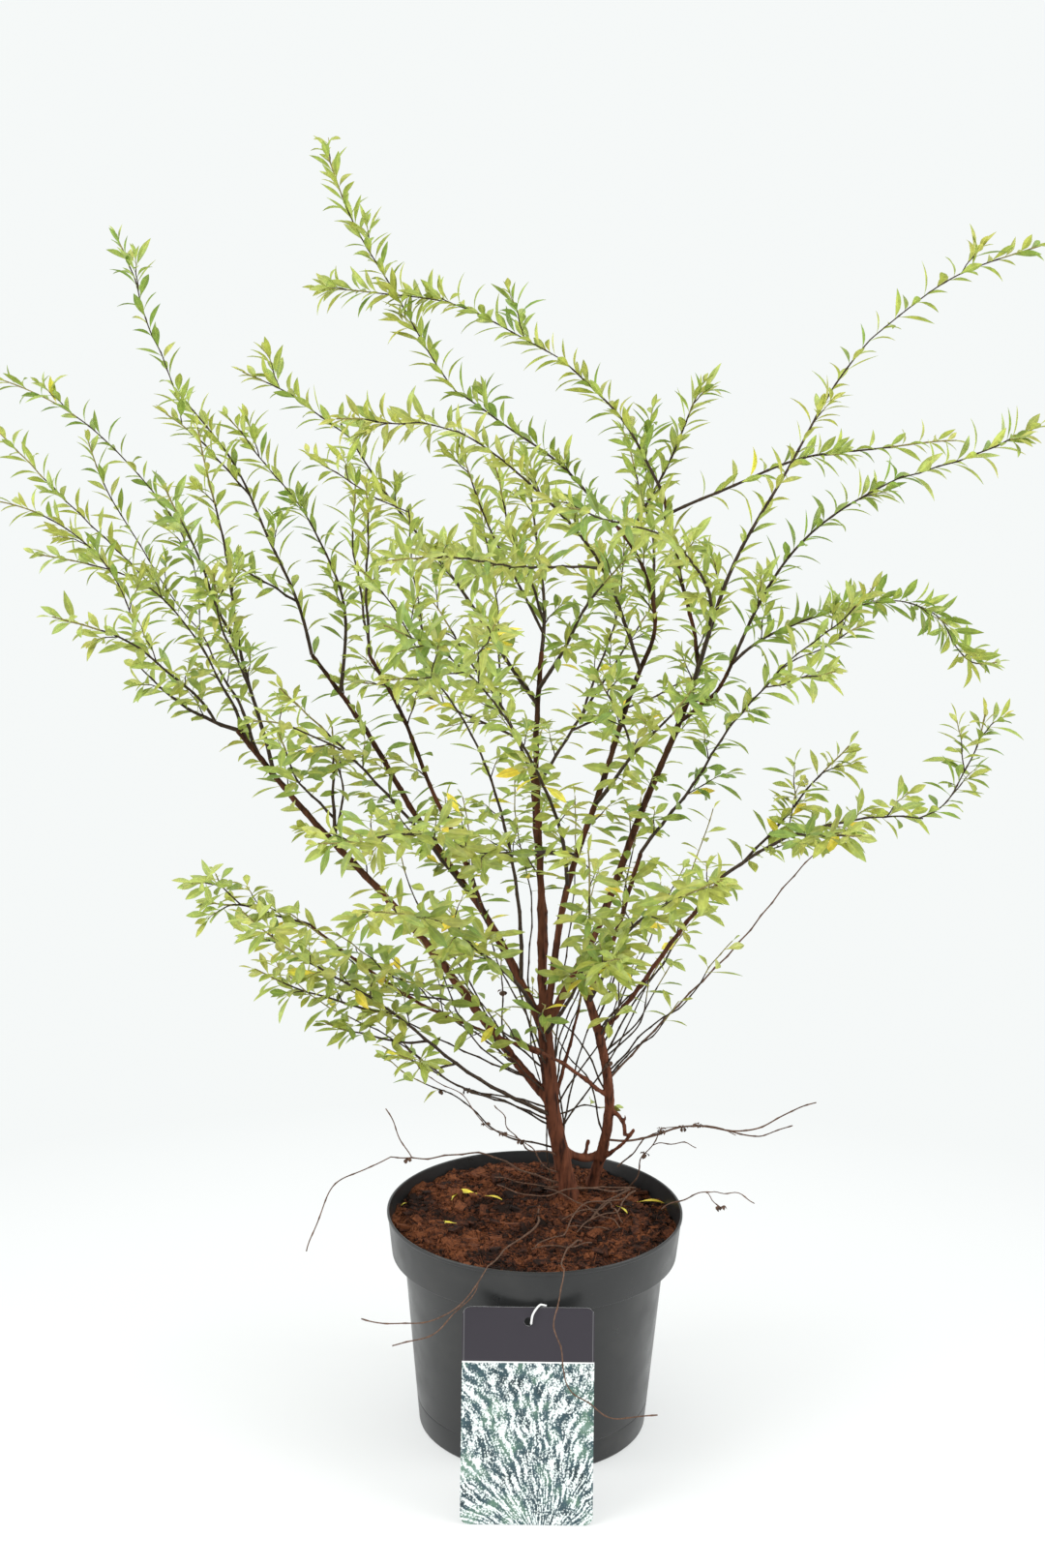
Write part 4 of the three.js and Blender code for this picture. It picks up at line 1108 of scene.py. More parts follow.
def pot_profile(pot):
    """The pot's outline from the middle of its underside, up its outside and down its inside."""
    wall = pot.wall / MM
    height, rim, base = pot.height / MM, pot.rim_radius / MM, pot.base_radius / MM
    band = height - pot.band_height / MM
    slope = (WALL_TOP_RADIUS - base) / band
    seam = base + slope * SEAM_HEIGHT
    lip_foot, lip_edge, lip_top = (height - drop for drop in LIP_DROPS)
    ledge = band + wall
    profile = [
        [0, 0],
        [DRAIN_RADIUS, 0],
        [DRAIN_RADIUS + DRAIN_SLOPE, DRAIN_DEPTH],
        [DRAIN_RADIUS + DRAIN_WIDTH - DRAIN_SLOPE, DRAIN_DEPTH],
        [DRAIN_RADIUS + DRAIN_WIDTH, 0],
        [base - FOOT_BEVEL, 0],
        [base, FOOT_BEVEL],
        [seam - SEAM_STEP, SEAM_HEIGHT - SEAM_HALF_HEIGHT],
        [seam - SEAM_DEPTH, SEAM_HEIGHT],
        [seam, SEAM_HEIGHT + SEAM_HALF_HEIGHT],
        [WALL_TOP_RADIUS, band],
        [BAND_FOOT_RADIUS, band],
        [rim - LIP_STEP, lip_foot],
        [rim - LIP_STEP, lip_edge],
        [rim, lip_top],
        [rim, height],
        [rim - wall, height],
        [BAND_FOOT_RADIUS - wall, ledge + wall],
        [WALL_TOP_RADIUS - wall, ledge],
        [base - wall, FLOOR_THICKNESS],
        [0, FLOOR_THICKNESS],
    ]
    return eased_corners(profile, radius=0.6)


def drain_cutter():
    """Upright rods through the floor's groove, one for each drain hole."""
    middle = DRAIN_RADIUS + DRAIN_WIDTH / 2
    rods = []
    for turn in 2 * np.pi * (np.arange(DRAIN_HOLES) + 0.5) / DRAIN_HOLES:
        foot = np.array([middle * np.cos(turn), middle * np.sin(turn), ROD_FOOT])
        path = foot + ROD_STEP * np.arange(3)[:, None] * UP
        rods.append(sweep(path, np.full(3, DRAIN_HOLE_RADIUS), sides=24))
    return rods


class SHRUB_OT_pot(Operator):
    """Build the nursery pot"""

    bl_idname = "shrub.pot"
    bl_label = "Pot"

    def execute(self, context):
        pot = context.scene.shrub.pot
        whole = put_in_scene("pot_whole", fill_mesh("pot_whole", [turned(pot_profile(pot), sides=192)]))
        cutter = put_in_scene("pot_cutter", fill_mesh("pot_cutter", drain_cutter()))
        cut = whole.modifiers.new("drain", "BOOLEAN")
        cut.operation = "DIFFERENCE"
        cut.object = cutter
        mesh = worked_mesh(whole, cutter)
        add_piece("pot_shell", mesh, [plastic_finish(pot)], "pot_plastic", ["pot"])
        return {"FINISHED"}


SOIL_RINGS = 90
SOIL_GAP = 0.1
SOIL_EDGE_GAP = 0.9
SOIL_SHOULDER = 6
SOIL_FLAT_RADIUS = 60
SOIL_EDGE_RADIUS = 90
RING_CROWDING = 0.8
BACK_SLANT = 0.4
BACK_REACH = 80
STEMS_FOOT = (27, 40)
HEAP_HEIGHT = 1.5
HEAP_REACH = 20
CRUMB_RADIUS = 88
CRUMB_SEED = 3
CRUMB_LUMPS = (0.75, 1.15)
TINY = 0.001

# Clods and crumbs in the soil's surface: each row a height, a size and the key of its chances.
SOIL_LUMPS = [[2.1, 17, 1], [1.9, 7.5, 2], [0.9, 3.4, 3], [0.5, 1.6, 4]]

# Loose pieces on the soil. Each row: the key of its chances, the smallest and the largest size, how high
# and how sunk a piece is for its size, and how far it may tilt.
LOOSE_PIECES = {
    "crumbs": [11, 0.35, 1.8, 0.75, 0.1, np.pi],
    "chips": [31, 1.2, 4.8, 0.3, 0.12, 0.7],
}
LOOSE_WIDTHS = (0.45, 0.85)

FIBRE_SEED = 51
FIBRE_POINTS = 6
FIBRE_LENGTHS = (5, 19)
FIBRE_RADII = (0.12, 0.3)
FIBRE_BEND = 0.35
FIBRE_LIFT = 0.9


def soil_height(points, soil):
    """The height of the soil over points of the plane: level in the middle, falling to the wall and
    rising to the back left, with clods and crumbs of noise and a bell-shaped heap round the stems."""
    flat = np.column_stack([points[:, :2], np.zeros(len(points))])
    across, back = flat[:, 0], flat[:, 1]
    lumps = sum(height * noise(flat, size, key) for height, size, key in SOIL_LUMPS)
    from_stems = np.hypot(across - STEMS_FOOT[0], back - STEMS_FOOT[1])
    heap = HEAP_HEIGHT * np.exp(-((from_stems / HEAP_REACH) ** 2))
    fall = soil.edge_drop / MM * smoothstep(np.hypot(across, back), SOIL_FLAT_RADIUS, SOIL_EDGE_RADIUS)
    rise = soil.back_rise / MM * smoothstep(back - BACK_SLANT * across, 0, BACK_REACH)
    return soil.level / MM - fall + rise + lumps + heap


def soil_body(pot, soil):
    """The soil as one closed body that fills the pot: turned, with its top lifted to the soil's height."""
    level = soil.level / MM
    wall = pot.wall / MM + SOIL_GAP
    foot = FLOOR_THICKNESS + SOIL_GAP
    band = (pot.height - pot.band_height) / MM
    edge = pot.rim_radius / MM - wall - SOIL_EDGE_GAP
    profile = [
        [0, foot],
        [pot.base_radius / MM - wall, foot],
        [WALL_TOP_RADIUS - wall, band + wall],
        [BAND_FOOT_RADIUS - wall, band + 2 * wall],
        [edge, level - SOIL_SHOULDER],
    ]
    radius = edge * np.linspace(1, 0, SOIL_RINGS) ** RING_CROWDING
    top = np.column_stack([radius, np.full(SOIL_RINGS, level)])
    shape = turned(np.vstack([profile, top]), sides=260)
    on_top = shape.points[:, 2] >= level - TINY
    shape.points[on_top, 2] = soil_height(shape.points[on_top], soil)
    return shape


def scattered(count, seed):
    """Places spread evenly over the soil: the square root of a chance gives how far out each lies."""
    keys = np.arange(count)
    away = CRUMB_RADIUS * np.sqrt(chance(seed, keys))
    turn = 2 * np.pi * chance(seed + 1, keys)
    return np.column_stack([away * np.cos(turn), away * np.sin(turn)])


def turning(angles, first, second):
    """For each angle the matrix that turns the first axis towards the second."""
    matrix = np.tile(np.eye(3), (len(angles), 1, 1))
    matrix[:, first, first] = matrix[:, second, second] = np.cos(angles)
    matrix[:, second, first] = np.sin(angles)
    matrix[:, first, second] = -np.sin(angles)
    return matrix


def tumbled(count, seed, most):
    """A turning matrix for each of many pieces: any turn about the upright, then a tilt of at most that
    angle, towards any side."""
    keys = np.arange(count)
    turn = 2 * np.pi * chance(seed, keys)
    tilt = most * (2 * chance(seed + 1, keys) - 1)
    side = 2 * np.pi * chance(seed + 2, keys)
    return turning(side, 0, 1) @ turning(tilt, 1, 2) @ turning(turn, 0, 1)


def copies(points, faces, sizes, turns, places, finishes):
    """Many copies of one small body, each stretched, turned and put in its place."""
    stretched = points[None] * sizes[:, None]
    moved = np.einsum("nij,nkj->nki", turns, stretched) + places[:, None]
    starts = len(points) * np.arange(len(places))
    corners = (faces[None] + starts[:, None, None]).reshape(-1, faces.shape[1])
    return Shape(moved.reshape(-1, 3), [corners], None, [np.repeat(finishes, len(faces))])


def crumb_body():
    """A lump of eight points and twelve three-sided faces: a cube with its corners moved in or out."""
    corners = np.array(list(np.ndindex(2, 2, 2)), float) * 2 - 1
    points = corners * blend(*CRUMB_LUMPS, chance(CRUMB_SEED, np.arange(corners.size))).reshape(-1, 3)
    quads = np.array([[0, 1, 3, 2], [4, 6, 7, 5], [0, 4, 5, 1], [2, 3, 7, 6], [0, 2, 6, 4], [1, 5, 7, 3]])
    return points, np.vstack([quads[:, [0, 1, 2]], quads[:, [0, 2, 3]]])


def loose_soil(soil):
    """Crumbs and bark chips that lie half sunk in the soil's surface, each in one of three finishes."""
    points, faces = crumb_body()
    shapes = []
    for kind, (seed, small, large, high, sunk, tilt) in LOOSE_PIECES.items():
        count = getattr(soil, kind)
        keys = np.arange(count)
        plan = scattered(count, seed)
        size = blend(small, large, chance(seed + 2, keys) ** 3)
        width = blend(*LOOSE_WIDTHS, chance(seed + 3, keys))
        sizes = np.column_stack([size, size * width, size * width * high])
        places = np.column_stack([plan, soil_height(plan, soil) + size * sunk])
        finishes = np.floor(3 * chance(seed + 4, keys)).astype(int)
        shapes.append(copies(points, faces, sizes, tumbled(count, seed + 5, tilt), places, finishes))
    return shapes


def fibre(seed, plan, soil):
    """One loose fibre: a thin arc that lies on the soil and lifts a little in its middle. Along it the
    cosine of a half turn gives both the bend to the side and the lift."""
    share = np.linspace(-0.5, 0.5, FIBRE_POINTS)
    arc = np.cos(np.pi * share)
    size = blend(*FIBRE_LENGTHS, chance(seed, 1) ** 2)
    turn = np.pi * chance(seed, 2)
    ahead = size * share
    aside = size * FIBRE_BEND * (chance(seed, 3) - 0.5) * arc
    x = plan[0] + ahead * np.cos(turn) - aside * np.sin(turn)
    y = plan[1] + ahead * np.sin(turn) + aside * np.cos(turn)
    inside = np.minimum(1, CRUMB_RADIUS / np.hypot(x, y))
    flat = np.column_stack([x * inside, y * inside])
    z = (soil_height(flat, soil) + soil_height(plan[None], soil)) / 2 + FIBRE_LIFT * arc
    radii = np.full(FIBRE_POINTS, blend(*FIBRE_RADII, chance(seed, 4)))
    return sweep(np.column_stack([flat, z]), radii, sides=4)


class SHRUB_OT_soil(Operator):
    """Fill the pot with soil, crumbs, bark chips and fibres, and drop some leaves on it"""

    bl_idname = "shrub.soil"
    bl_label = "Soil"

    def execute(self, context):
        shrub = context.scene.shrub
        soil = shrub.soil
        whole, *shades = (soil_finish(name, soil) for name in SOIL_SPANS)
        add_shapes("soil_body", [soil_body(shrub.pot, soil)], [whole], "soil", ["soil"], sharp=180)
        add_shapes("soil_crumbs", loose_soil(soil), shades, "soil", sharp=30)
        plan = scattered(soil.fibres, FIBRE_SEED)
        fibres = [fibre(i + 1, place, soil) for i, place in enumerate(plan)]
        add_shapes("soil_fibres", fibres, shades[-1:], "soil")
        faces = leaf_finishes("leaf_fallen", shrub.foliage.yellow)
        add_shapes("fallen_leaves", [fallen_leaves(soil)], faces, "foliage")
        return {"FINISHED"}


# ---- the label

CARD_FOOT = np.array([-3.5, -128.5, 0.3])
CARD_HOLE_RADIUS = 2.5
CARD_HOLE_DROP = 8.5
CARD_BEVEL = 0.12
CARD_RINGS = np.array([0, 0.02, 0.25, 0.6, 0.97, 1])
TIE_RADIUS = 0.62
TIE_GAP = 0.35


def leaned(points, label):
    """Points of the flat card (across, up, forward) where the card stands: leaned back about its foot."""
    across, up, forward = points.T
    back = np.sin(label.lean)
    rise = np.cos(label.lean)
    return np.column_stack([across, up * back - forward * rise, up * rise + forward * back]) + CARD_FOOT


def card_outline(width, height, corner, steps=8):
    """The card's outline: four arcs of a circle, one at each corner, joined by straight edges."""
    turn = np.linspace(0, np.pi / 2, steps)
    arc = corner * np.column_stack([np.cos(turn), np.sin(turn)])
    quarter_turn = np.array([[0, 1], [-1, 0]])
    points = []
    for quarter, (side, top) in enumerate([(1, 1), (-1, 1), (-1, 0), (1, 0)]):
        middle = np.array([side * (width / 2 - corner), height - corner if top else corner])
        points.append(middle + arc @ np.linalg.matrix_power(quarter_turn, quarter))
    return np.vstack(points)


def seen_evenly(outline, middle, step):
    """The outline with more points on its long edges, so that from the middle no two lie farther apart
    than the step: along an edge each is where the line of sight at an even angle meets it."""
    points = []
    for start, end in zip(outline - middle, np.roll(outline, -1, axis=0) - middle):
        first = np.arctan2(start[1], start[0])
        turn = (np.arctan2(end[1], end[0]) - first + np.pi) % (2 * np.pi) - np.pi
        ways = first + turn * np.linspace(0, 1, int(abs(turn) / step) + 1, endpoint=False)
        square = np.column_stack([-np.sin(ways), np.cos(ways)])
        share = (square @ start) / (square @ start - square @ end)
        points.append(middle + start + share[:, None] * (end - start))
    return np.vstack(points)


def card_shape(label):
    """The card as one closed band: from the hole's edge out to the card's outline, round its edge, and
    back to the hole, with a straight line from hole to outline at each step."""
    width, height, thick = label.width / MM, label.height / MM, label.thickness / MM
    middle = np.array([0, height - CARD_HOLE_DROP])
    outline = card_outline(width, height, label.corner / MM)
    outline = seen_evenly(outline, middle, step=np.radians(7))[::-1]
    hole = middle + CARD_HOLE_RADIUS * unit(outline - middle)
    flat = hole[None] + (outline - hole)[None] * CARD_RINGS[:, None, None]
    inset = np.where((CARD_RINGS == 0) | (CARD_RINGS == 1), CARD_BEVEL, 0)
    rings = np.vstack([flat, flat[::-1], flat[:1]])
    depth = np.concatenate([thick - inset, inset[::-1], thick - inset[:1]])
    count = len(outline)
    points = np.dstack([rings, np.repeat(depth[:, None], count, axis=1)])[:-1].reshape(-1, 3)
    faces = ring_quads(len(rings), count) % len(points)
    face_ring = np.repeat(np.arange(len(rings) - 1), count)
    finishes = np.where(face_ring < len(CARD_RINGS) - 1, 0, 1)
    places = points[:, :2] / [width, height] + [0.5, 0]
    return Shape(leaned(points, label), [faces], places, [finishes])


def through_points(route, steps):
    """A smooth line through a few points: between two of them it is the cubic whose ways at both ends
    are half the step from the point before to the point after."""
    padded = np.vstack([2 * route[0] - route[1], route, 2 * route[-1] - route[-2]])
    share = np.linspace(0, 1, steps, endpoint=False)[:, None]
    pieces = []
    for before, start, end, after in zip(padded, padded[1:], padded[2:], padded[3:]):
        go, arrive = (end - before) / 2, (after - start) / 2
        leave = share * (1 - share) ** 2 * go - share**2 * (1 - share) * arrive
        pieces.append(blend(start, end, gentle(share)) + leave)
    return np.vstack([*pieces, route[-1:]])


def tie_shape(label):
    """The tie: a round tube that comes forward through the hole, runs up the card and over its top. Its
    route is given across, up and forward."""
    height = label.height / MM
    hole = height - CARD_HOLE_DROP
    front = label.thickness / MM + TIE_RADIUS + TIE_GAP
    back = -TIE_RADIUS - TIE_GAP
    route = np.array([
        [1.6, hole - 0.3, back],
        [1.6, hole - 0.7, front],
        [2.5, hole + 4.6, front + 0.6],
        [6.4, height + 1.3, front - 0.4],
        [10.2, height + 0.6, back - 0.6],
    ])
    path = leaned(through_points(route, steps=9), label)
    return sweep(path, np.full(len(path), TIE_RADIUS), sides=12)


class SHRUB_OT_label(Operator):
    """Stand the picture label against the pot"""

    bl_idname = "shrub.label"
    bl_label = "Label"

    def execute(self, context):
        label = context.scene.shrub.label
        faces = [picture_finish(label), smooth_finish("card_back", label.card_back, roughness=0.45)]
        add_shapes("card", [card_shape(label)], faces, "label_card", ["label_card"], sharp=25)
        white = [smooth_finish("tie_white", label.tie, roughness=0.35)]
        add_shapes("tie", [tie_shape(label)], white, "label_tie", ["label_tie"])
        return {"FINISHED"}


# ---- limbs

RING_STEP = 2.2
LEAST_RINGS = 4
KNOT_EVERY = 5
CONTINUES_FROM = 0.9
TAPER = 0.8
SWAY_WAVES = (0.7, 0.9)
KINK_FADE = 3
NO_THICKER = 0.92
KEYS_PER_MASS = 20
NOWHERE = 2

# How limbs grow: their sway for their length, the kink at each bud, and the key of their chances.
STEM_GROWTH = (0.006, 0, 1)
BOUGH_GROWTH = (0.009, 0.3, 11)
BASE_GROWTH = (0.009, 0.3, 41)

# The same for the tables of numbered rows, after the radius of a first row and a later one at the foot,
# and the radius at the tip.
MASS_GROWTH = (1.45, 0.98, 0.42, 0.012, 0.3, 100)
WISP_GROWTH = (0.68, 0.55, 0.336, 0.024, 0.4, 1100)
BARE_GROWTH = (0.8, 0.8, 0.38, 0.035, 0.55, 1300)
SPRIG_GROWTH = (0.72, 0.56, 0.304, 0.04, 0.5, 1500)


class Limb:
    """A limb's real path from foot to tip: one smooth curve, pulled off the straight line by a point
    twice as far off as its middle, with a slight sway and a small kink at every bud. It holds its radii,
    the ways along and square to it, its bare length, whether another limb carries it on, and how leafy
    it is."""

    def __init__(self, foot, tip, bow, foot_radius, tip_radius, sway, kink, seed, bare=0.0):
        foot, tip = np.asarray(foot, float), np.asarray(tip, float)
        control = (foot + tip) / 2 + 2 * np.asarray(bow, float)
        straight = np.linalg.norm(tip - foot)
        self.share = np.linspace(0, 1, max(LEAST_RINGS, round(straight / RING_STEP)) + 1)
        t = self.share[:, None]
        path = (1 - t) ** 2 * foot + 2 * t * (1 - t) * control + t * t * tip
        self.path = path + self.off_curve(path, sway * straight, kink, seed)
        self.along, self.normal, self.binormal = frames_of(self.path)
        steps = np.linalg.norm(np.diff(self.path, axis=0), axis=1)
        self.reach = np.concatenate([[0], np.cumsum(steps)])
        self.length = self.reach[-1]
        self.radii = blend(foot_radius, tip_radius, self.share**TAPER)
        self.bare = bare
        self.seed = seed
        self.carried_on = False
        self.leafy = 1.0

    def off_curve(self, path, sway, kink, seed):
        """How far the path stands off its smooth curve: slow waves to both sides that die out at the
        ends, and a zigzag from bud to bud."""
        _, normal, binormal = frames_of(path)
        ends = np.sin(np.pi * self.share)
        waves = SWAY_WAVES[0] + SWAY_WAVES[1] * chance(seed, np.arange(2))
        phases = chance(seed, np.arange(2, 4))
        turns = self.share * waves[:, None] + phases[:, None]
        aside, over = sway * ends * np.sin(2 * np.pi * turns)
        zigzag = 2 * np.abs(np.arange(len(path)) / KNOT_EVERY % 2 - 1) - 1
        aside = aside + kink * zigzag * np.minimum(1, KINK_FADE * ends)
        return aside[:, None] * normal + over[:, None] * binormal

    def at(self, share):
        """The point at that share of the way from foot to tip."""
        return np.array([np.interp(share, self.share, self.path[:, axis]) for axis in range(3)])

    def radius_at(self, share):
        """The radius at that share of the way from foot to tip."""
        return float(np.interp(share, self.share, self.radii))

    def places(self, reaches):
        """The points at those distances from the foot, the ways along, and two ways square to them."""
        fields = (self.path, self.along, self.normal, self.binormal)
        return [
            np.column_stack([np.interp(reaches, self.reach, field[:, axis]) for axis in range(3)])
            for field in fields
        ]

    def middle_height(self):
        """The height of the limb's middle."""
        return self.path[len(self.path) // 2, 2]

    def passes(self, height):
        """How far along it a rising limb passes that height."""
        return float(self.reach[np.argmax(self.path[:, 2] > height)])


def limb_tube(limb, sides, knot, young_from=NOWHERE):
    """A limb's tube: a little thicker at every bud, and of the second finish past that share of it."""
    at_bud = np.arange(len(limb.path)) % KNOT_EVERY == 0
    at_bud[0] = at_bud[-1] = False
    shape = sweep(limb.path, limb.radii + knot * at_bud, sides)
    young = np.repeat(limb.share[:-1] >= young_from, sides).astype(int)
    shape.finishes = [young, np.array([0, int(young_from < 1)])]
    return shape


def grow_rows(limbs, table, growth):
    """Adds the limbs of a table of rows: each starts on its parent's real path, no thicker than it."""
    first, later, thin, sway, kink, key = growth
    for m, (name, rows) in enumerate(table.items()):
        for i, (start, at, tip, bow, *bare) in enumerate(rows):
            foot, thickness = start, later
            if not isinstance(start, list):
                parent = limbs[f"{name}/{start}" if isinstance(start, int) else start]
                foot = parent.at(at)
                thickness = min(NO_THICKER * parent.radius_at(at), later if i else first)
                parent.carried_on |= at >= CONTINUES_FROM
            seed = key + KEYS_PER_MASS * m + i + 1
            limb = Limb(foot, tip, bow, thickness, thin, sway, kink, seed, *bare)
            limb.leafy = LEAFINESS.get(name, 1.0)
            limbs[f"{name}/{i}"] = limb


def grow_limbs():
    """Every limb by name: stems, boughs, the short wood at the foot, shoots and dead twigs."""
    limbs = {}
    sway, kink, key = STEM_GROWTH
    for i, (name, (foot, tip, bow, thick, thin, flare)) in enumerate(STEMS.items()):
        limb = Limb(foot, tip, bow, thick, thin, sway, kink, key + i)
        limb.radii = blend(thick, thin, limb.share) + flare * np.exp(-limb.reach / FLARE_REACH)
        limbs[name] = limb
    for table, (sway, kink, key) in ((BOUGHS, BOUGH_GROWTH), (BASE_WOOD, BASE_GROWTH)):
        for i, (name, (start, at, tip, bow, thick, thin)) in enumerate(table.items()):
            parent = limbs[start]
            parent.carried_on |= at >= CONTINUES_FROM
            limbs[name] = Limb(parent.at(at), tip, bow, thick, thin, sway, kink, key + i)
    grow_rows(limbs, MASSES, MASS_GROWTH)
    grow_rows(limbs, WISPS, WISP_GROWTH)
    grow_rows(limbs, BARE_TWIGS, BARE_GROWTH)
    grow_rows(limbs, BARE_SPRIGS, SPRIG_GROWTH)
    return limbs


def named(limbs, *tables):
    """The limbs that tables of rows, or of single limbs, have made."""
    return [limb for name, limb in limbs.items() if any(name.split("/")[0] in table for table in tables)]


# ---- stems, boughs and dead twigs

COLLAR_REACH = 4.5
COLLAR_SWELL = 0.18
LENGTHWISE = (1, 1, 0.2)
BOUGH_RELIEF = 0.28
RELIEF_FADES = (200, 300)
SKIN_LIFT = 0.08

# The bark's ridges and flakes along the limbs: each row a height, a size and the key of its chances. Then
# the size and key of its lumps, and how much ridges and lumps count.
BARK_RIDGES = [[1, 1.5, 1], [0.6, 0.8, 2]]
BARK_LUMPS = [9, 3]
RIDGE_SHARE, LUMP_SHARE = 0.55, 0.7

HUSK_BRIGHTNESS = {"husk": 0.8, "husk_under": 0.6}


def fused(shapes, voxel):
    """Shapes melted into one skin: remeshed on a grid of small cubes, then smoothed."""
    skin = put_in_scene("fuse", fill_mesh("fuse", shapes))
    remesh = skin.modifiers.new("remesh", "REMESH")
    remesh.mode = "VOXEL"
    remesh.voxel_size = voxel
    smooth = skin.modifiers.new("smooth", "SMOOTH")
    smooth.factor = 0.5
    smooth.iterations = 3
    return worked_mesh(skin)


def raise_bark(mesh, relief):
    """Moves the skin along its normals: lengthwise ridges and flakes from stretched noise, deep on the
    stems and shallow on the boughs, and a constant that gives back what smoothing took."""
    points = np.empty(3 * len(mesh.vertices))
    normals = np.empty(3 * len(mesh.vertices))
    mesh.vertices.foreach_get("co", points)
    mesh.vertex_normals.foreach_get("vector", normals)
    points, normals = points.reshape(-1, 3) / MM, normals.reshape(-1, 3)
    ridges = sum(height * noise(points * LENGTHWISE, size, key) for height, size, key in BARK_RIDGES)
    depth = blend(relief, relief * BOUGH_RELIEF, smoothstep(points[:, 2], *RELIEF_FADES))
    lift = depth * (RIDGE_SHARE * ridges + LUMP_SHARE * noise(points, *BARK_LUMPS)) + SKIN_LIFT
    mesh.vertices.foreach_set("co", ((points + lift[:, None] * normals) * MM).ravel())
    mesh.update()


class SHRUB_OT_wood(Operator):
    """Grow the stems and the bare boughs as one skin of bark"""

    bl_idname = "shrub.wood"
    bl_label = "Stems and boughs"

    def execute(self, context):
        wood = context.scene.shrub.wood
        shapes = []
        for limb in named(grow_limbs(), STEMS, BOUGHS, BASE_WOOD):
            limb.radii = limb.radii * (1 + COLLAR_SWELL * np.exp(-limb.reach / COLLAR_REACH))
            shapes.append(limb_tube(limb, sides=14, knot=0.22))
        mesh = fused(shapes, wood.voxel)
        raise_bark(mesh, wood.relief / MM)
        add_piece("stems_and_boughs", mesh, [bark_finish(wood)], "bark", [*STEMS, *BOUGHS], sharp=80)
        return {"FINISHED"}


class SHRUB_OT_dry_twigs(Operator):
    """Add the dead twigs at the shrub's foot, with their flower husks"""

    bl_idname = "shrub.dry_twigs"
    bl_label = "Dead twigs"

    def execute(self, context):
        dry = context.scene.shrub.wood.dry
        limbs = grow_limbs()
        dead = named(limbs, BARE_TWIGS, BARE_SPRIGS)
        tubes = [limb_tube(limb, sides=6, knot=0.16) for limb in dead]
        wood = [twig_finish("dry_wood", dry, roughness=0.8)]
        add_shapes("dead_twigs", tubes, wood, "dry_wood", BARE_TWIGS)
        shades = [twig_finish(name, shaded(dry, bright)) for name, bright in HUSK_BRIGHTNESS.items()]
        add_shapes("husks", [husks(limbs)], shades, "dry_wood")
        return {"FINISHED"}


# ---- leaves

LEAF_RINGS = np.array([0, 0.1, 0.2, 0.36, 0.54, 0.72, 0.89, 1])
STALK_SHARE = 0.1
STALK_HALF_WIDTH = 0.22
STALK_TAPER = 0.8
BLADE_END = 0.985
LEAF_FOLD = 0.34
RIB_OVER = 0.09
RIB_UNDER = 0.13
RIB_TAPER = 0.6
LEAST_BEND = 0.02
SKY_PULL = 0.7
BOX_MARGIN = 0.3

# Leaves low in the crown and high in it, between two heights: the angle at which they leave the shoot,
# how much they lift to the sky, how steep they stand, how much they bend, and where they are broadest.
SIZE_LOW, SIZE_HIGH = 390, 560
LEAF_ANGLES = (66, 42)
LEAF_LIFTS = (0.06, 0.18)
LEAF_STEEPNESS = (0.4, 1)
LEAF_BENDS = (0.5, 0.72)
LEAF_BREADTHS = (1.3, 0.95)

# How much they differ from one another.
PLACE_SPREAD = 0.7
ANGLE_SPREAD = 26
ROLL_SPREAD = 1.3
SIZE_SPREAD = (0.7, 1.25)
WIDTH_SPREAD = (0.78, 1.15)
BEND_SPREAD = (0.2, 1.5)
BREADTH_SPREAD = (0.9, 1.15)

# The tuft at a shoot's tip, and its last leaf against a usual one.
TUFT_LENGTH = 16
TUFT_SHARE = 0.4
TUFT_LEAVES = 6
TUFT_ANGLE = 16
TUFT_SIZE = 0.48
TUFT_WIDTH = 0.75
TUFT_BEND = 0.35

# The kinds of leaf. Most leaves of a spray are of its own kind, and those near a tip are bright.
KINDS = ("fresh", "bright", "deep", "yellow")
FRESH, BRIGHT, DEEP, YELLOW = range(4)
ODD_SHARE = 0.3
FRESH_UP_TO, BRIGHT_UP_TO = 0.58, 0.76
BRIGHT_FROM = (0.3, 0.8)
FADING_SHARES = (0.035, 0.002)
FADING_HEIGHTS = (330, 520)

# The keys of the chances: of the first leaf's turn, of the spray, and of each trait of a leaf.
TURN_KEY, SPRAY_KEY = 77, 88
TURN_SPREAD = 6
TRAITS = ("angle", "roll", "size", "width", "bend", "breadth", "odd", "own_kind", "bright", "fading")
TRAIT_STEP = 100

# Side twigs: where the first one leaves, how far each is moved, how long it is, and how it grows.
TWIG_START = (0.2, 0.7)
TWIG_SHIFT = 0.5
TWIG_ANGLE = np.radians(44)
TWIG_LIFT = 0.25
TWIG_SIZES = (0.55, 1.45)
TWIG_SHORTENING = 0.45
TWIG_BOW = 0.05
TWIG_TAPER = 0.5
TWIG_GROWTH = (0.02, 0.2)
TWIG_BARE = 3.5
TWIG_MARGIN = 4
TWIG_LEAFY = 1.3
TWIG_KEYS = {"start": 1, "turn": 5, "shift": 10, "size": 40}
TWIG_SEED_START, TWIG_SEED_STEP = 5000, 7

# Husks: how many scales each has, how they stand, and their size.
HUSK_SCALES = 6
HUSK_RISE = (-0.7, 0.9)
HUSK_SIZES = (2.6, 5.2)
HUSK_SHAPE = {"width": 0.62, "bend": 1.5, "breadth": 1.2}
HUSK_SPLAY = 0.2
HUSK_KEYS = {"rise": 5, "size": 20}

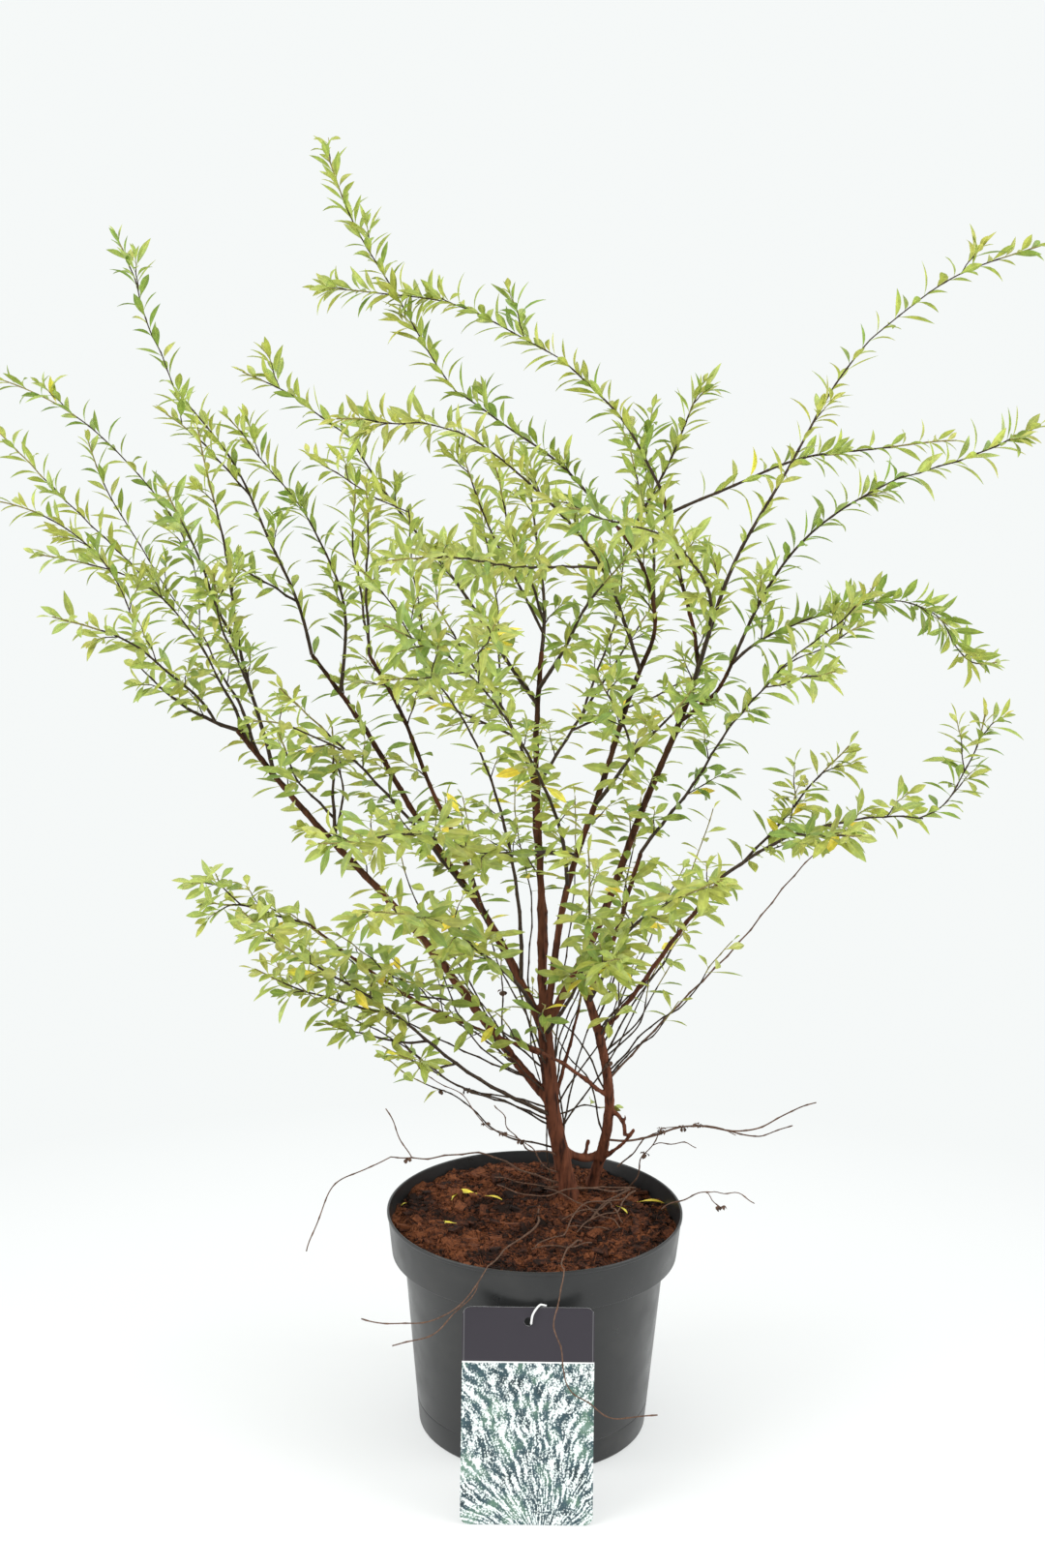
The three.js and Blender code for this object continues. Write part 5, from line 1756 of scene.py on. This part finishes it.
# Fallen leaves: how they slope and roll, how high they lie, and their shape.
LITTER_SLOPE = 0.14
LITTER_ROLL = 0.6
LITTER_LIFT = 1.6
LITTER_SHAPE = {"width": 0.27, "bend": 0.5, "breadth": 1.2}
LITTER_SEED = 9


def leaf_blades(leaves):
    """Every leaf's points, four to a ring. A leaf is a closed blade that bends down along an arc: its
    middle runs ahead by the sine of the angle bent so far and sinks by one less its cosine, both over
    the whole bend. Each ring has its two edges, which stand up in a fold, and its rib over and under.
    The blade's half width is half the leaf's times the sine of a half turn, at a power of the share of
    the blade passed, and nowhere less than the stalk's."""
    root, heading, upper, size, width, bend, breadth = leaves
    t = LEAF_RINGS[None, :]
    bend = np.maximum(bend, LEAST_BEND)[:, None]
    ahead = size[:, None] * np.sin(bend * t) / bend
    under = size[:, None] * (1 - np.cos(bend * t)) / bend
    middle = root[:, None] + ahead[..., None] * heading[:, None] - under[..., None] * upper[:, None]
    rise = np.cos(bend * t)[..., None] * upper[:, None] + np.sin(bend * t)[..., None] * heading[:, None]
    passed = np.clip((t - STALK_SHARE) / (1 - STALK_SHARE), 0, 1)
    blade = width[:, None] / 2 * np.sin(np.pi * np.clip(passed ** breadth[:, None], 0, BLADE_END))
    half = np.maximum(blade, STALK_HALF_WIDTH * (1 - STALK_TAPER * passed))[..., None]
    side = np.cross(upper, heading)[:, None]
    edge = LEAF_FOLD * half * rise
    rib = (1 - RIB_TAPER * passed[..., None]) * rise
    left, right = middle + side * half + edge, middle - side * half + edge
    rings = [left, middle + RIB_OVER * rib, right, middle - RIB_UNDER * rib]
    return np.stack(rings, axis=2).reshape(len(root), -1, 3)


def leaf_shape(blades):
    """Many leaves as one shape: the upper faces have the first finish and the lower ones the second."""
    rings, count = len(LEAF_RINGS), len(blades)
    caps = np.array([[3, 2, 1, 0], 4 * (rings - 1) + np.arange(4)])
    faces = np.vstack([ring_quads(rings, 4), caps])
    starts = blades.shape[1] * np.arange(count)
    corners = (faces[None] + starts[:, None, None]).reshape(-1, 4)
    place = np.column_stack([np.tile([0, 0.5, 1, 0.5], rings), np.repeat(LEAF_RINGS, 4)])
    under = np.concatenate([np.tile([0, 0, 1, 1], rings - 1), [0, 0]])
    return Shape(blades.reshape(-1, 3), [corners], np.tile(place, (count, 1)), [np.tile(under, count)])


def rolled(upper, heading, angle):
    """The upper way of each leaf, turned about its heading."""
    return np.cos(angle)[:, None] * upper + np.sin(angle)[:, None] * np.cross(upper, heading)


def upper_way(along, heading):
    """The way that a leaf's upper face looks: to the shoot's tip and the sky, square to its heading."""
    upper = along + SKY_PULL * UP
    return unit(upper - np.sum(upper * heading, axis=1, keepdims=True) * heading)


def like_leaves(root, heading, upper, size, shape):
    """The columns of leaves that all have one shape for their size."""
    bend, breadth = (np.full(len(size), shape[key]) for key in ("bend", "breadth"))
    return [root, heading, upper, size, shape["width"] * size, bend, breadth]


def leaf_kinds(spray, varied, height, near_tip):
    """The kind of each leaf: for most that of its spray, bright near a tip, and yellow for a few, more
    of them low in the crown."""
    drawn = np.where(varied["odd"] < ODD_SHARE, varied["own_kind"], spray)
    kind = np.select([drawn < FRESH_UP_TO, drawn < BRIGHT_UP_TO], [FRESH, BRIGHT], DEEP)
    fading = varied["fading"] < blend(*FADING_SHARES, smoothstep(height, *FADING_HEIGHTS))
    bright = near_tip > blend(*BRIGHT_FROM, varied["bright"])
    return np.select([fading, bright], [YELLOW, BRIGHT], kind)


def leaves_on(limb, foliage, tuft=TUFT_LEAVES, thin=1.0):
    """The leaves of one limb, and the kind of each. They stand round it, a golden turn from one to the
    next, from its bare part on. The last ones crowd into a tuft, smaller and closer to its line."""
    seed = limb.seed
    tuft_length = min(TUFT_LENGTH, TUFT_SHARE * limb.length) if tuft else 0
    span = limb.length - limb.bare - tuft_length
    level = float(smoothstep(limb.middle_height(), SIZE_LOW, SIZE_HIGH))
    spacing = thin * blend(foliage.leaf_spacing_low, foliage.leaf_spacing_high, level) / MM / limb.leafy
    count = max(0, round(span / spacing))
    keys = np.arange(count + tuft)
    varied = {trait: chance(seed, keys + TRAIT_STEP * (i + 1)) for i, trait in enumerate(TRAITS)}

    steps = keys[:count] + PLACE_SPREAD * chance(seed, keys[:count])
    share = np.linspace(0, 1, tuft)
    in_tuft = limb.length - tuft_length * (1 - share)
    reaches = np.concatenate([limb.bare + steps * span / max(1, count), in_tuft])
    near_tip = np.concatenate([np.zeros(count), share])
    root, along, normal, binormal = limb.places(reaches)
    along = unit(along)
    high = smoothstep(root[:, 2], SIZE_LOW, SIZE_HIGH)

    turn = (GOLDEN_TURN * keys + TURN_SPREAD * chance(seed, TURN_KEY))[:, None]
    out = np.cos(turn) * normal + np.sin(turn) * binormal
    angle = blend(blend(*LEAF_ANGLES, high), TUFT_ANGLE, near_tip) + ANGLE_SPREAD * (varied["angle"] - 0.5)
    angle = np.radians(angle)[:, None]
    lift = blend(*LEAF_LIFTS, high) * (1 - near_tip)
    heading = np.cos(angle) * along + np.sin(angle) * out + lift[:, None] * UP
    heading[:, 2] *= blend(*LEAF_STEEPNESS, high)
    heading = unit(heading)
    upper = rolled(upper_way(along, heading), heading, ROLL_SPREAD * (varied["roll"] - 0.5))

    size = blend(foliage.leaf_length_low, foliage.leaf_length_high, high) / MM
    size = size * blend(*SIZE_SPREAD, varied["size"]) * blend(1, TUFT_SIZE, near_tip)
    width = blend(foliage.leaf_width_low, foliage.leaf_width_high, high) / MM
    width = width * blend(*WIDTH_SPREAD, varied["width"]) * blend(1, TUFT_WIDTH, near_tip)
    bend = blend(*LEAF_BENDS, high) * blend(*BEND_SPREAD, varied["bend"]) * blend(1, TUFT_BEND, near_tip)
    breadth = blend(*LEAF_BREADTHS, high) * blend(*BREADTH_SPREAD, varied["breadth"])
    kinds = leaf_kinds(chance(seed, SPRAY_KEY), varied, root[:, 2], near_tip)
    return (root, heading, upper, size, width, bend, breadth), kinds


def twigs_on(limb, seed, spacing, size, radius, first=0.0):
    """Side twigs of one limb: one every so often, leaving it at an angle and curving up a little."""
    twigs = []
    spacing = spacing / limb.leafy
    start = max(limb.bare, first) + spacing * blend(*TWIG_START, chance(seed, TWIG_KEYS["start"]))
    for i, reach in enumerate(np.arange(start, limb.length - size / 2, spacing)):
        reach = reach + TWIG_SHIFT * spacing * (chance(seed, i + TWIG_KEYS["shift"]) - 0.5)
        foot, along, normal, binormal = (field[0] for field in limb.places(np.array([reach])))
        turn = GOLDEN_TURN * i + TURN_SPREAD * chance(seed, TWIG_KEYS["turn"])
        out = np.cos(turn) * normal + np.sin(turn) * binormal
        heading = unit(np.cos(TWIG_ANGLE) * along + np.sin(TWIG_ANGLE) * out + TWIG_LIFT * UP)
        grown = size * blend(*TWIG_SIZES, chance(seed, i + TWIG_KEYS["size"]))
        grown = grown * (1 - TWIG_SHORTENING * reach / limb.length)
        tip = foot + grown * heading
        if inside_box(tip[None], TWIG_MARGIN)[0]:
            key = TWIG_SEED_START + TWIG_SEED_STEP * seed + i
            bow = TWIG_BOW * grown * UP
            twig = Limb(foot, tip, bow, radius, TWIG_TAPER * radius, *TWIG_GROWTH, key, TWIG_BARE)
            twig.leafy = min(TWIG_LEAFY, limb.leafy)
            twigs.append(twig)
    return twigs


def inside_box(points, margin):
    """Which points lie inside the part's own box, with that much to spare."""
    low, high = (np.array(corner) / MM for corner in CAD_BOX)
    return np.all((points > low + margin) & (points < high - margin), axis=-1)


def husks(limbs):
    """Dry flower husks: at each place a few short curled scales that stand round the twig."""
    keys = np.arange(HUSK_SCALES)
    scales = []
    for k, (name, share) in enumerate(HUSKS):
        root = np.tile(limbs[name].at(share), (HUSK_SCALES, 1))
        turn = GOLDEN_TURN * keys + k
        rise = blend(*HUSK_RISE, chance(k, keys + HUSK_KEYS["rise"]))
        heading = unit(np.column_stack([np.cos(turn), np.sin(turn), rise]))
        upper = upper_way(UP + HUSK_SPLAY * heading[::-1], heading)
        size = blend(*HUSK_SIZES, chance(k, keys + HUSK_KEYS["size"]))
        scales.append(like_leaves(root, heading, upper, size, HUSK_SHAPE))
    return leaf_shape(leaf_blades([np.concatenate(column) for column in zip(*scales)]))


def fallen_leaves(soil):
    """Leaves that lie on the soil, each a little above it and curled."""
    places, turns, size = (np.array(column, float) for column in zip(*FALLEN_LEAVES))
    turns = np.radians(turns)
    level = np.column_stack([np.cos(turns), np.sin(turns)])
    upright = np.ones((len(size), 1))
    heading = unit(np.hstack([level, LITTER_SLOPE * upright]))
    upper = unit(np.hstack([-LITTER_SLOPE * level, upright]))
    upper = rolled(upper, heading, LITTER_ROLL * chance(LITTER_SEED, np.arange(len(size))))
    root = np.column_stack([places, soil_height(places, soil) + LITTER_LIFT])
    return leaf_shape(leaf_blades(like_leaves(root, heading, upper, size, LITTER_SHAPE)))


# ---- the crown

# Heights between which the side twigs of the shoots thin out, and where leaves start on the boughs and
# leafless sprigs below them.
TWIGS_THIN_OUT = (440, 600)
LEAFY_FROM = 335
SPRIG_FROM = 190

# The least length that bears leaves on a bough, and its twigs against those of the shoots.
LEAST_LEAFY = 30
BOUGH_TWIG_SPACING = 1.4
BOUGH_TWIG_SIZE = 1.1

SPRIG_KEY = 300
SHOOT_GREEN_FROM = 0.78


def grow_foliage(foliage):
    """The crown: the shoots with their side twigs, the leafless sprigs low down, and all leaves."""
    limbs = grow_limbs()
    shoots, wisps = named(limbs, MASSES), named(limbs, WISPS)
    twigs, sprigs, leaves = [], [], []
    size = foliage.twig_length / MM
    low, high = foliage.twig_spacing_low / MM, foliage.twig_spacing_high / MM
    for limb in shoots:
        spacing = blend(low, high, float(smoothstep(limb.middle_height(), *TWIGS_THIN_OUT)))
        twigs += twigs_on(limb, limb.seed, spacing, size, radius=0.45)
        leaves.append(leaves_on(limb, foliage, 0 if limb.carried_on else TUFT_LEAVES))
    for limb in named(limbs, BOUGHS):
        bare = limb.passes(LEAFY_FROM)
        if limb.path[-1, 2] > LEAFY_FROM and limb.length - bare > LEAST_LEAFY:
            limb.bare = bare
            spacing, longest = BOUGH_TWIG_SPACING * low, BOUGH_TWIG_SIZE * size
            twigs += twigs_on(limb, limb.seed, spacing, longest, radius=0.55)
            leaves.append(leaves_on(limb, foliage, tuft=0, thin=1.6))
        if limb.path[0, 2] < LEAFY_FROM:
            grown = twigs_on(limb, limb.seed + SPRIG_KEY, spacing=34, size=34, radius=0.42, first=20)
            sprigs += [twig for twig in grown if SPRIG_FROM < twig.path[-1, 2] < LEAFY_FROM]
    leaves += [leaves_on(twig, foliage, thin=0.8) for twig in twigs]
    leaves += [leaves_on(wisp, foliage, tuft=3, thin=1.6) for wisp in wisps]
    columns = [np.concatenate(column) for column in zip(*(rows for rows, _ in leaves))]
    kinds = np.concatenate([kind for _, kind in leaves])
    return shoots + wisps, twigs, sprigs, leaf_blades(columns), kinds


class SHRUB_OT_foliage(Operator):
    """Grow the shoots, twigs and leaves of the crown"""

    bl_idname = "shrub.foliage"
    bl_label = "Shoots and leaves"

    def execute(self, context):
        foliage = context.scene.shrub.foliage
        shoots, twigs, sprigs, blades, kinds = grow_foliage(foliage)
        brown = twig_finish("shoot_brown", foliage.shoot)
        green = twig_finish("shoot_green", foliage.young_shoot, roughness=0.5)
        tubes = []
        for limb in shoots:
            green_from = NOWHERE if limb.carried_on else SHOOT_GREEN_FROM
            tubes.append(limb_tube(limb, sides=7, knot=0.14, young_from=green_from))
        add_shapes("shoots", tubes, [brown, green], "foliage", MASSES, sharp=60)
        tubes = [limb_tube(limb, sides=5, knot=0.1, young_from=0.55) for limb in twigs]
        tubes += [limb_tube(limb, sides=5, knot=0.12) for limb in sprigs]
        add_shapes("side_twigs", tubes, [brown, green], "foliage", MASSES, sharp=60)
        kept = inside_box(blades.reshape(-1, 3), BOX_MARGIN).reshape(len(blades), -1).all(axis=1)
        for k, kind in enumerate(KINDS):
            name = f"leaves_{kind}"
            leaves = [leaf_shape(blades[kept & (kinds == k)])]
            faces = leaf_finishes(name, getattr(foliage, kind))
            add_shapes(name, leaves, faces, "foliage", MASSES, sharp=30)
        return {"FINISHED"}


# ---- the studio

# Where the camera stands, how far it looks down, and its turn about its line of sight.
CAMERA_PLACE = (-0.01106, -1.2761, 0.7101)
CAMERA_PITCH = 0.2262
CAMERA_ROLL = 0.0125

# The floor, the share of its own light round the pot, and from where on and how far out that takes over.
FLOOR_RADIUS = 60000
FLOOR_FOOT, FLOOR_TOP = -4, -0.05
FLOOR_GLOW = 0.5
BRIGHT_SPOT = (0.0, -0.3, 0.0)
BRIGHT_REACH = (0.3, 0.85)

# The directions' y between which the light from all round dims towards the viewer.
DIMMING = (-1.0, -0.1)

# Soft lights: where each stands, what it looks at, how wide it is, and its power in watts.
LIGHTS = {
    "key": [[-1.7, -0.9, 1.3], [0, 0, 0.3], 1.4, 34],
    "fill": [[1.8, -0.6, 1.1], [0, 0, 0.3], 1.3, 25],
    "top": [[0.1, -0.2, 2.6], [0, 0, 0.4], 1.6, 16],
}


def look_at(way):
    """The turn that points a light's or camera's −Z axis along a way, with its top up."""
    back = unit(-np.asarray(way, float))
    right = unit(np.cross(UP, back))
    return Matrix(np.column_stack([right, np.cross(back, right), back]).tolist())


def add_light(name, place, target, width, watts):
    """A square soft light that looks at its target."""
    light = put_in_scene(name, bpy.data.lights.new(name, "AREA"))
    light.data.size = width
    light.data.energy = watts
    light.matrix_world = Matrix.Translation(place) @ look_at(np.subtract(target, place)).to_4x4()
    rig.stage(light)


def studio_light(stage):
    """Even light from all round that dims towards the viewer's side, from the direction's y. The camera
    itself sees one plain backdrop."""
    world = bpy.data.worlds.new("studio")
    world.use_nodes = True
    nodes, links = world.node_tree.nodes, world.node_tree.links
    background = nodes["Background"]
    background.inputs["Color"].default_value = (*stage.backdrop, 1)
    split = nodes.new("ShaderNodeSeparateXYZ")
    links.new(nodes.new("ShaderNodeTexCoord").outputs["Generated"], split.inputs[0])
    dimmed = nodes.new("ShaderNodeMapRange")
    links.new(split.outputs["Y"], dimmed.inputs["Value"])
    spans = (*DIMMING, stage.front_light, 1.0)
    for key, value in zip(("From Min", "From Max", "To Min", "To Max"), spans):
        dimmed.inputs[key].default_value = value
    brightest = nodes.new("ShaderNodeMath")
    brightest.operation = "MAXIMUM"
    links.new(nodes.new("ShaderNodeLightPath").outputs["Is Camera Ray"], brightest.inputs[0])
    links.new(dimmed.outputs["Result"], brightest.inputs[1])
    links.new(brightest.outputs["Value"], background.inputs["Strength"])
    return world


class SHRUB_OT_stage(Operator):
    """Set up a pale floor, soft light and the camera"""

    bl_idname = "shrub.stage"
    bl_label = "Studio"

    def execute(self, context):
        scene = context.scene
        stage = scene.shrub.stage
        profile = [[0, FLOOR_FOOT], [FLOOR_RADIUS, FLOOR_FOOT], [FLOOR_RADIUS, FLOOR_TOP], [0, FLOOR_TOP]]
        floor = put_in_scene("floor", fill_mesh("floor", [turned(profile, sides=64)]))
        floor.data.materials.append(floor_finish(stage))
        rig.stage(floor)
        for name, light in LIGHTS.items():
            add_light(name, *light)
        scene.world = studio_light(stage)
        scene.view_settings.view_transform = "Standard"
        camera = put_in_scene("camera", bpy.data.cameras.new("camera"))
        camera.data.lens = stage.lens / MM
        camera.data.sensor_width = 36
        camera.data.clip_start = 0.01
        pitched = Matrix.Rotation(np.pi / 2 - CAMERA_PITCH, 4, "X")
        rolled_over = Matrix.Rotation(CAMERA_ROLL, 4, "Z")
        camera.matrix_world = Matrix.Translation(CAMERA_PLACE) @ pitched @ rolled_over
        scene.camera = camera
        return {"FINISHED"}


# ---- the add-on

# The operators in their order. All but one bear the name of their settings.
STEPS = ("pot", "soil", "label", "wood", "dry_twigs", "foliage", "stage")


class SHRUB_PT_panel(Panel):
    """The steps that build the shrub, each with its sizes and colours"""

    bl_label = "Potted Spirea Shrub"
    bl_idname = "SHRUB_PT_panel"
    bl_space_type = "VIEW_3D"
    bl_region_type = "UI"
    bl_category = "Shrub"

    def draw(self, context):
        for step in STEPS:
            box = self.layout.box()
            box.operator(f"shrub.{step}")
            settings = getattr(context.scene.shrub, step, None)
            keys = settings.bl_rna.properties.keys() if settings else ()
            for key in keys:
                if key not in ("rna_type", "name"):
                    box.prop(settings, key)


CLASSES = (
    PotSettings, SoilSettings, LabelSettings, WoodSettings, FoliageSettings, StageSettings, ShrubSettings,
    SHRUB_OT_pot, SHRUB_OT_soil, SHRUB_OT_label, SHRUB_OT_wood, SHRUB_OT_dry_twigs, SHRUB_OT_foliage,
    SHRUB_OT_stage, SHRUB_PT_panel,
)


def register():
    """Makes the classes and the scene's settings known."""
    for cls in CLASSES:
        bpy.utils.register_class(cls)
    bpy.types.Scene.shrub = PointerProperty(name="Shrub", description="All settings", type=ShrubSettings)


def unregister():
    """Takes them out again."""
    del bpy.types.Scene.shrub
    for cls in reversed(CLASSES):
        bpy.utils.unregister_class(cls)


def main():
    """Builds the whole scene, one operator after another, and notes the box before and after."""
    register()
    for step in STEPS:
        getattr(bpy.ops.shrub, step)()
    visual_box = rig.bounds()
    sizes = {
        "cad_box": [list(corner) for corner in CAD_BOX],
        "visual_box": [list(corner) for corner in visual_box],
    }
    with open("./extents.json", "w") as file:
        json.dump(sizes, file, indent=1)


if __name__ == "__main__":
    main()
